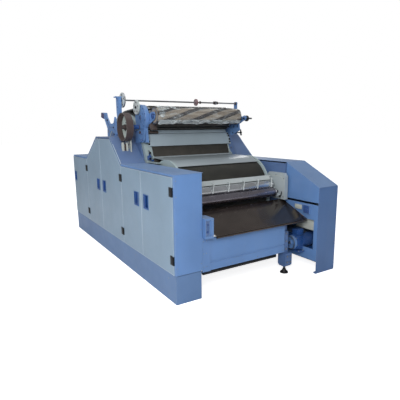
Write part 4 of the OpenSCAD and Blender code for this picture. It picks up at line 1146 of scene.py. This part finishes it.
def stand_bits(y, z):
    plate = ((0.001, 1.402), (0.001, 1.520), (0.001, 1.700), (0.026, 1.700))
    fixings("stand_bolts", DARK_BLUE, ROOT,
            (bolt, LEFT, [(-0.7642, y + dy, zz) for dy, zz in plate], 0.0065, 0.003),
            (bolt, UP, [(-0.713, y + dy, 1.3760) for dy in (0.002, 0.048)], 0.0070, 0.006),
            (bolt, UP, [(x, y + 0.030, z + 0.0382) for x in (-0.774, -0.744)], 0.0060, 0.004),
            (bolt, RIGHT, [(0.8782, y + 0.026, zz) for zz in (1.42, 1.70)], 0.0065, 0.005))

    def flange(bm):
        rbox(bm, (-0.7665, y + 0.036, 1.630), (-0.7641, y + 0.0475, 1.795), 0.001)
        ring(bm, -0.7700, -0.7642, y, z, 0.0098, 0.0135, 28, 0.0008)
    group("stand_flange", BLUE, ROOT, flange)


lever_bits()
post_bits(WHEEL_Y, WHEEL_Z)
casing_bits(-0.5961, -0.1997, 1.5759)
top_bits()
knob_bits()
stand_bits(TOP_Y, TOP_Z)


# ---------- delivery drive and motors ----------

def gear_bits():
    spots = ((-1.215, 0.735), (-0.985, 0.735), (-1.215, 0.930), (-0.985, 0.930), (-1.100, 0.960))
    fixings("cover_screws", ZINC, ROOT, (screw, LEFT, [(0.5558, *p) for p in spots], 0.0065, 0.0028))
    # pressed panel on the cover's face
    o = [(-1.200, 0.905), (-1.200, 0.930), (-1.180, 0.950), (-1.020, 0.950), (-1.000, 0.930), (-1.000, 0.905)]
    group("cover_beads", CREAM, ROOT,
          lambda bm: [strip(bm, 0.5538, 0.5559, p, q, 0.004, 0.0008, -0.002) for p, q in zip(o, o[1:])])

    def handle(bm):
        # bent grip on a turned boss with chamfered rims and a shallow centre mark
        tube(bm, [(0.527, -1.205, 0.744), (0.527, -1.217, 0.772), (0.527, -1.221, 0.796)], 0.0050, 10)
        back, front, r, e = 0.5200, 0.5120, 0.0120, 0.002
        prof = [(back, 0.0008), (back, r - e), (back - e, r), (front + e, r),
                (front, r - e), (front, r * 0.30), (front + e, r * 0.24), (front + e, 0.0008)]
        skin(bm, turns(bm, prof, -1.205, 0.744, 32), caps=True)
    group("cover_handle", BLACK, ROOT, handle)


def motor_bits(y, z):
    def guard(bm):
        # louvred fan cowl at the motor's outer end
        ring(bm, 0.8242, 0.8275, y, z, 0.050, 0.061, 48, 0.001)
        for r in (0.016, 0.028, 0.040):
            ring(bm, 0.8242, 0.8262, y, z, r, r + 0.004, 40, 0.0006)
        for p, q in zip(around(y, z, 0.012, 6, 0), around(y, z, 0.055, 6, 0)):
            strip(bm, 0.8240, 0.8262, p, q, 0.004, 0.0006, -0.002)
    group("motor_fan_guard", BLUE_MOTOR, ROOT, guard)

    def lid(bm):
        rbox(bm, (0.564, y - 0.037, 0.4222), (0.636, y + 0.037, 0.4262), 0.0015)
        tube(bm, [(0.600, y - 0.041, 0.400), (0.600, y - 0.056, 0.400)], 0.010, 12)
        rbox(bm, (0.553, y - 0.058, 0.3562), (0.612, y + 0.058, 0.3600), 0.001)
    group("motor_box_lid", BLUE_MOTOR, ROOT, lid)
    angles = [radians(-70 + 320 * i / 24) for i in range(25)]
    eye = [(0.700 + 0.014 * cos(a), y, 0.3765 + 0.014 * sin(a)) for a in angles]
    group("motor_eye", ZINC, ROOT, lambda bm: tube(bm, eye, 0.0035, 8))
    feet = [(x, y + s * 0.078, 0.2072) for x in (0.540, 0.604, 0.640, 0.810) for s in (-1, 1)]
    fixings("motor_bolts", ZINC, ROOT,
            (bolt, LEFT, [(0.5278, *p) for p in around(y, z, 0.070, 6, 0.25)], 0.0062, 0.005),
            (bolt, UP, feet, 0.006, 0.005),
            (screw, UP, [(x, y + s * 0.031, 0.4262) for x in (0.570, 0.630) for s in (-1, 1)], 0.003, 0.0014))
    # cooling fins along the gear housing's front
    boxes("motor_fins", BLUE_MOTOR, ROOT, *(((0.556, y - 0.0665, h - 0.0016), (0.610, y - 0.0622, h + 0.0016), 0.0006)
                                            for h in (0.244, 0.262, 0.318, 0.336)))

    def pulley(bm):
        ring(bm, 0.4882, 0.4900, y, z, 0.0610, 0.0715, 48, 0.0006)
        bolt(bm, (0.4888, y, z), LEFT, 0.012, 0.008)
        for p in around(y, z, 0.044, 4, 0.4):
            bolt(bm, (0.4998, *p), LEFT, 0.0050, 0.004)
    group("pulley_details", ZINC, body_of("delivery_pulley"), pulley)


def main_drive_bits(y, z):
    rings("main_pulley_rims", STEEL, body_of("motor_pulley"),
          *((x0, x1, y, z, 0.062, 0.0735, 56) for x0, x1 in ((-0.6870, -0.6842), (-0.6438, -0.6410))))
    fixings("main_motor_bolts", ZINC, ROOT,
            (bolt, RIGHT, [(-0.6878, *p) for p in around(y, z, 0.108, 8, 0.2)], 0.008, 0.006))
    rings("main_motor_cowl", BLUE_MOTOR, ROOT,
          *((-0.8492, -0.8462, y, z, r, r + 0.006, 48, 0.0008) for r in (0.020, 0.045, 0.070, 0.095)))


def foot_bits(x, y):
    boxes("foot_studs", RUBBER, ROOT, *(((u - 0.002, v - 0.002, 0.0140), (u + 0.002, v + 0.002, 0.0165), 0.0008)
                                        for u, v in around(x, y, 0.0335, 10, 0)))
    spindle = [(*polar(x, y, 0.0122, i * 0.6), 0.047 + 0.032 * i / 150) for i in range(151)]
    group("foot_thread", ZINC, ROOT, lambda bm: tube(bm, spindle, 0.0007, 5))
    fixings("leg_bolts", ZINC, ROOT, (bolt, NEAR, [(0.376, -1.4622, h) for h in (0.26, 0.34, 0.42)], 0.0075, 0.006),
            (bolt, NEAR, [(u, -1.4982, h) for u in (0.362, 0.404) for h in (0.130, 0.190)], 0.0075, 0.006))


gear_bits()
motor_bits(-1.400, 0.290)
main_drive_bits(*mid("motor_pulley")[1:])
foot_bits(0.389, -1.432)


# ---------- stage ----------

WORLD_LIGHT = 0.30
LIGHTS = (
    ("key", (-3.2, -4.5, 3.0), (-0.4, -0.8, 0.7), (2.0, 2.0), 164),
    ("side_fill", (-6.0, 2.6, 2.8), (-0.9, 0.8, 0.8), (3.0, 3.0), 50),
    ("top_fill", (-0.8, -0.2, 5.5), (-0.2, 0, 0.8), (4.0, 4.0), 75),
    ("rear_fill", (3.5, 5.0, 3.5), (0, 0.5, 0.8), (3.0, 3.0), 80),
)
CAMERA_AT, CAMERA_LENS = (-2.271, -4.091, 1.456), 33.98
YAW, PITCH, ROLL = radians(31.91), radians(10.72), radians(-0.65)


def put(name, data):
    o = bpy.data.objects.new(name, data)
    bpy.context.scene.collection.objects.link(o)
    return o


def lay_floor():
    m = Mat("floor_pale", rough=0.6)
    m.colour(m.ramp(m.noise(1.5, 4), [(0.3, (0.86, 0.865, 0.87, 1)), (0.7, (0.90, 0.902, 0.905, 1))]))
    m.rough(m.noise(6, 3), 0.55, 0.75)
    m.p.inputs["Emission Color"].default_value = (1, 1, 1, 1)
    sheen_tint = m.node("Math")
    sheen_tint.operation = "MULTIPLY"
    sheen_tint.inputs[1].default_value = 0.86
    m.link(m.node("LightPath"), "Is Camera Ray", sheen_tint, 0)
    m.link(sheen_tint, "Value", m.p, "Emission Strength")
    bm = bmesh.new()
    bmesh.ops.create_grid(bm, x_segments=8, y_segments=8, size=40)
    me = bpy.data.meshes.new("floor")
    bm.to_mesh(me)
    bm.free()
    me.materials.append(m.m)
    floor = put("floor", me)
    floor.location.z = -0.0005


def light_world():
    """White behind the machine, a dimmer cool light on it."""
    world = bpy.data.worlds.new("studio")
    bpy.context.scene.world = world
    world.use_nodes = True
    t = world.node_tree
    t.nodes.clear()
    out, ray, mix = (t.nodes.new("ShaderNode" + kind) for kind in ("OutputWorld", "LightPath", "MixShader"))
    t.links.new(ray.outputs["Is Camera Ray"], mix.inputs[0])
    for socket, colour, strength in ((1, (0.93, 0.96, 1.0, 1), WORLD_LIGHT), (2, (1, 1, 1, 1), 1.0)):
        sky = t.nodes.new("ShaderNodeBackground")
        sky.inputs["Color"].default_value = colour
        sky.inputs["Strength"].default_value = strength
        t.links.new(sky.outputs[0], mix.inputs[socket])
    t.links.new(mix.outputs[0], out.inputs[0])


def place_lights():
    for name, loc, aim, size, watts in LIGHTS:
        d = bpy.data.lights.new(name, "AREA")
        d.shape = "RECTANGLE"
        d.size, d.size_y = size
        d.energy = watts
        o = put(name, d)
        o.location = loc
        o.rotation_euler = (Vector(aim) - Vector(loc)).to_track_quat("-Z", "Y").to_euler()


def place_camera():
    cam = bpy.data.cameras.new("camera")
    cam.sensor_width = 36
    cam.lens = CAMERA_LENS
    cam.clip_end = 100
    o = put("camera", cam)
    fwd = Vector((sin(YAW) * cos(PITCH), cos(YAW) * cos(PITCH), -sin(PITCH)))
    right = fwd.cross(Vector(UP)).normalized()
    up = right.cross(fwd)
    m = Matrix((right * cos(ROLL) + up * sin(ROLL), up * cos(ROLL) - right * sin(ROLL), -fwd)).transposed().to_4x4()
    m.translation = Vector(CAMERA_AT)
    o.matrix_world = m
    bpy.context.scene.camera = o


lay_floor()
light_world()
place_lights()
place_camera()
bpy.context.scene.view_settings.view_transform = "Standard"

bpy.context.view_layer.update()
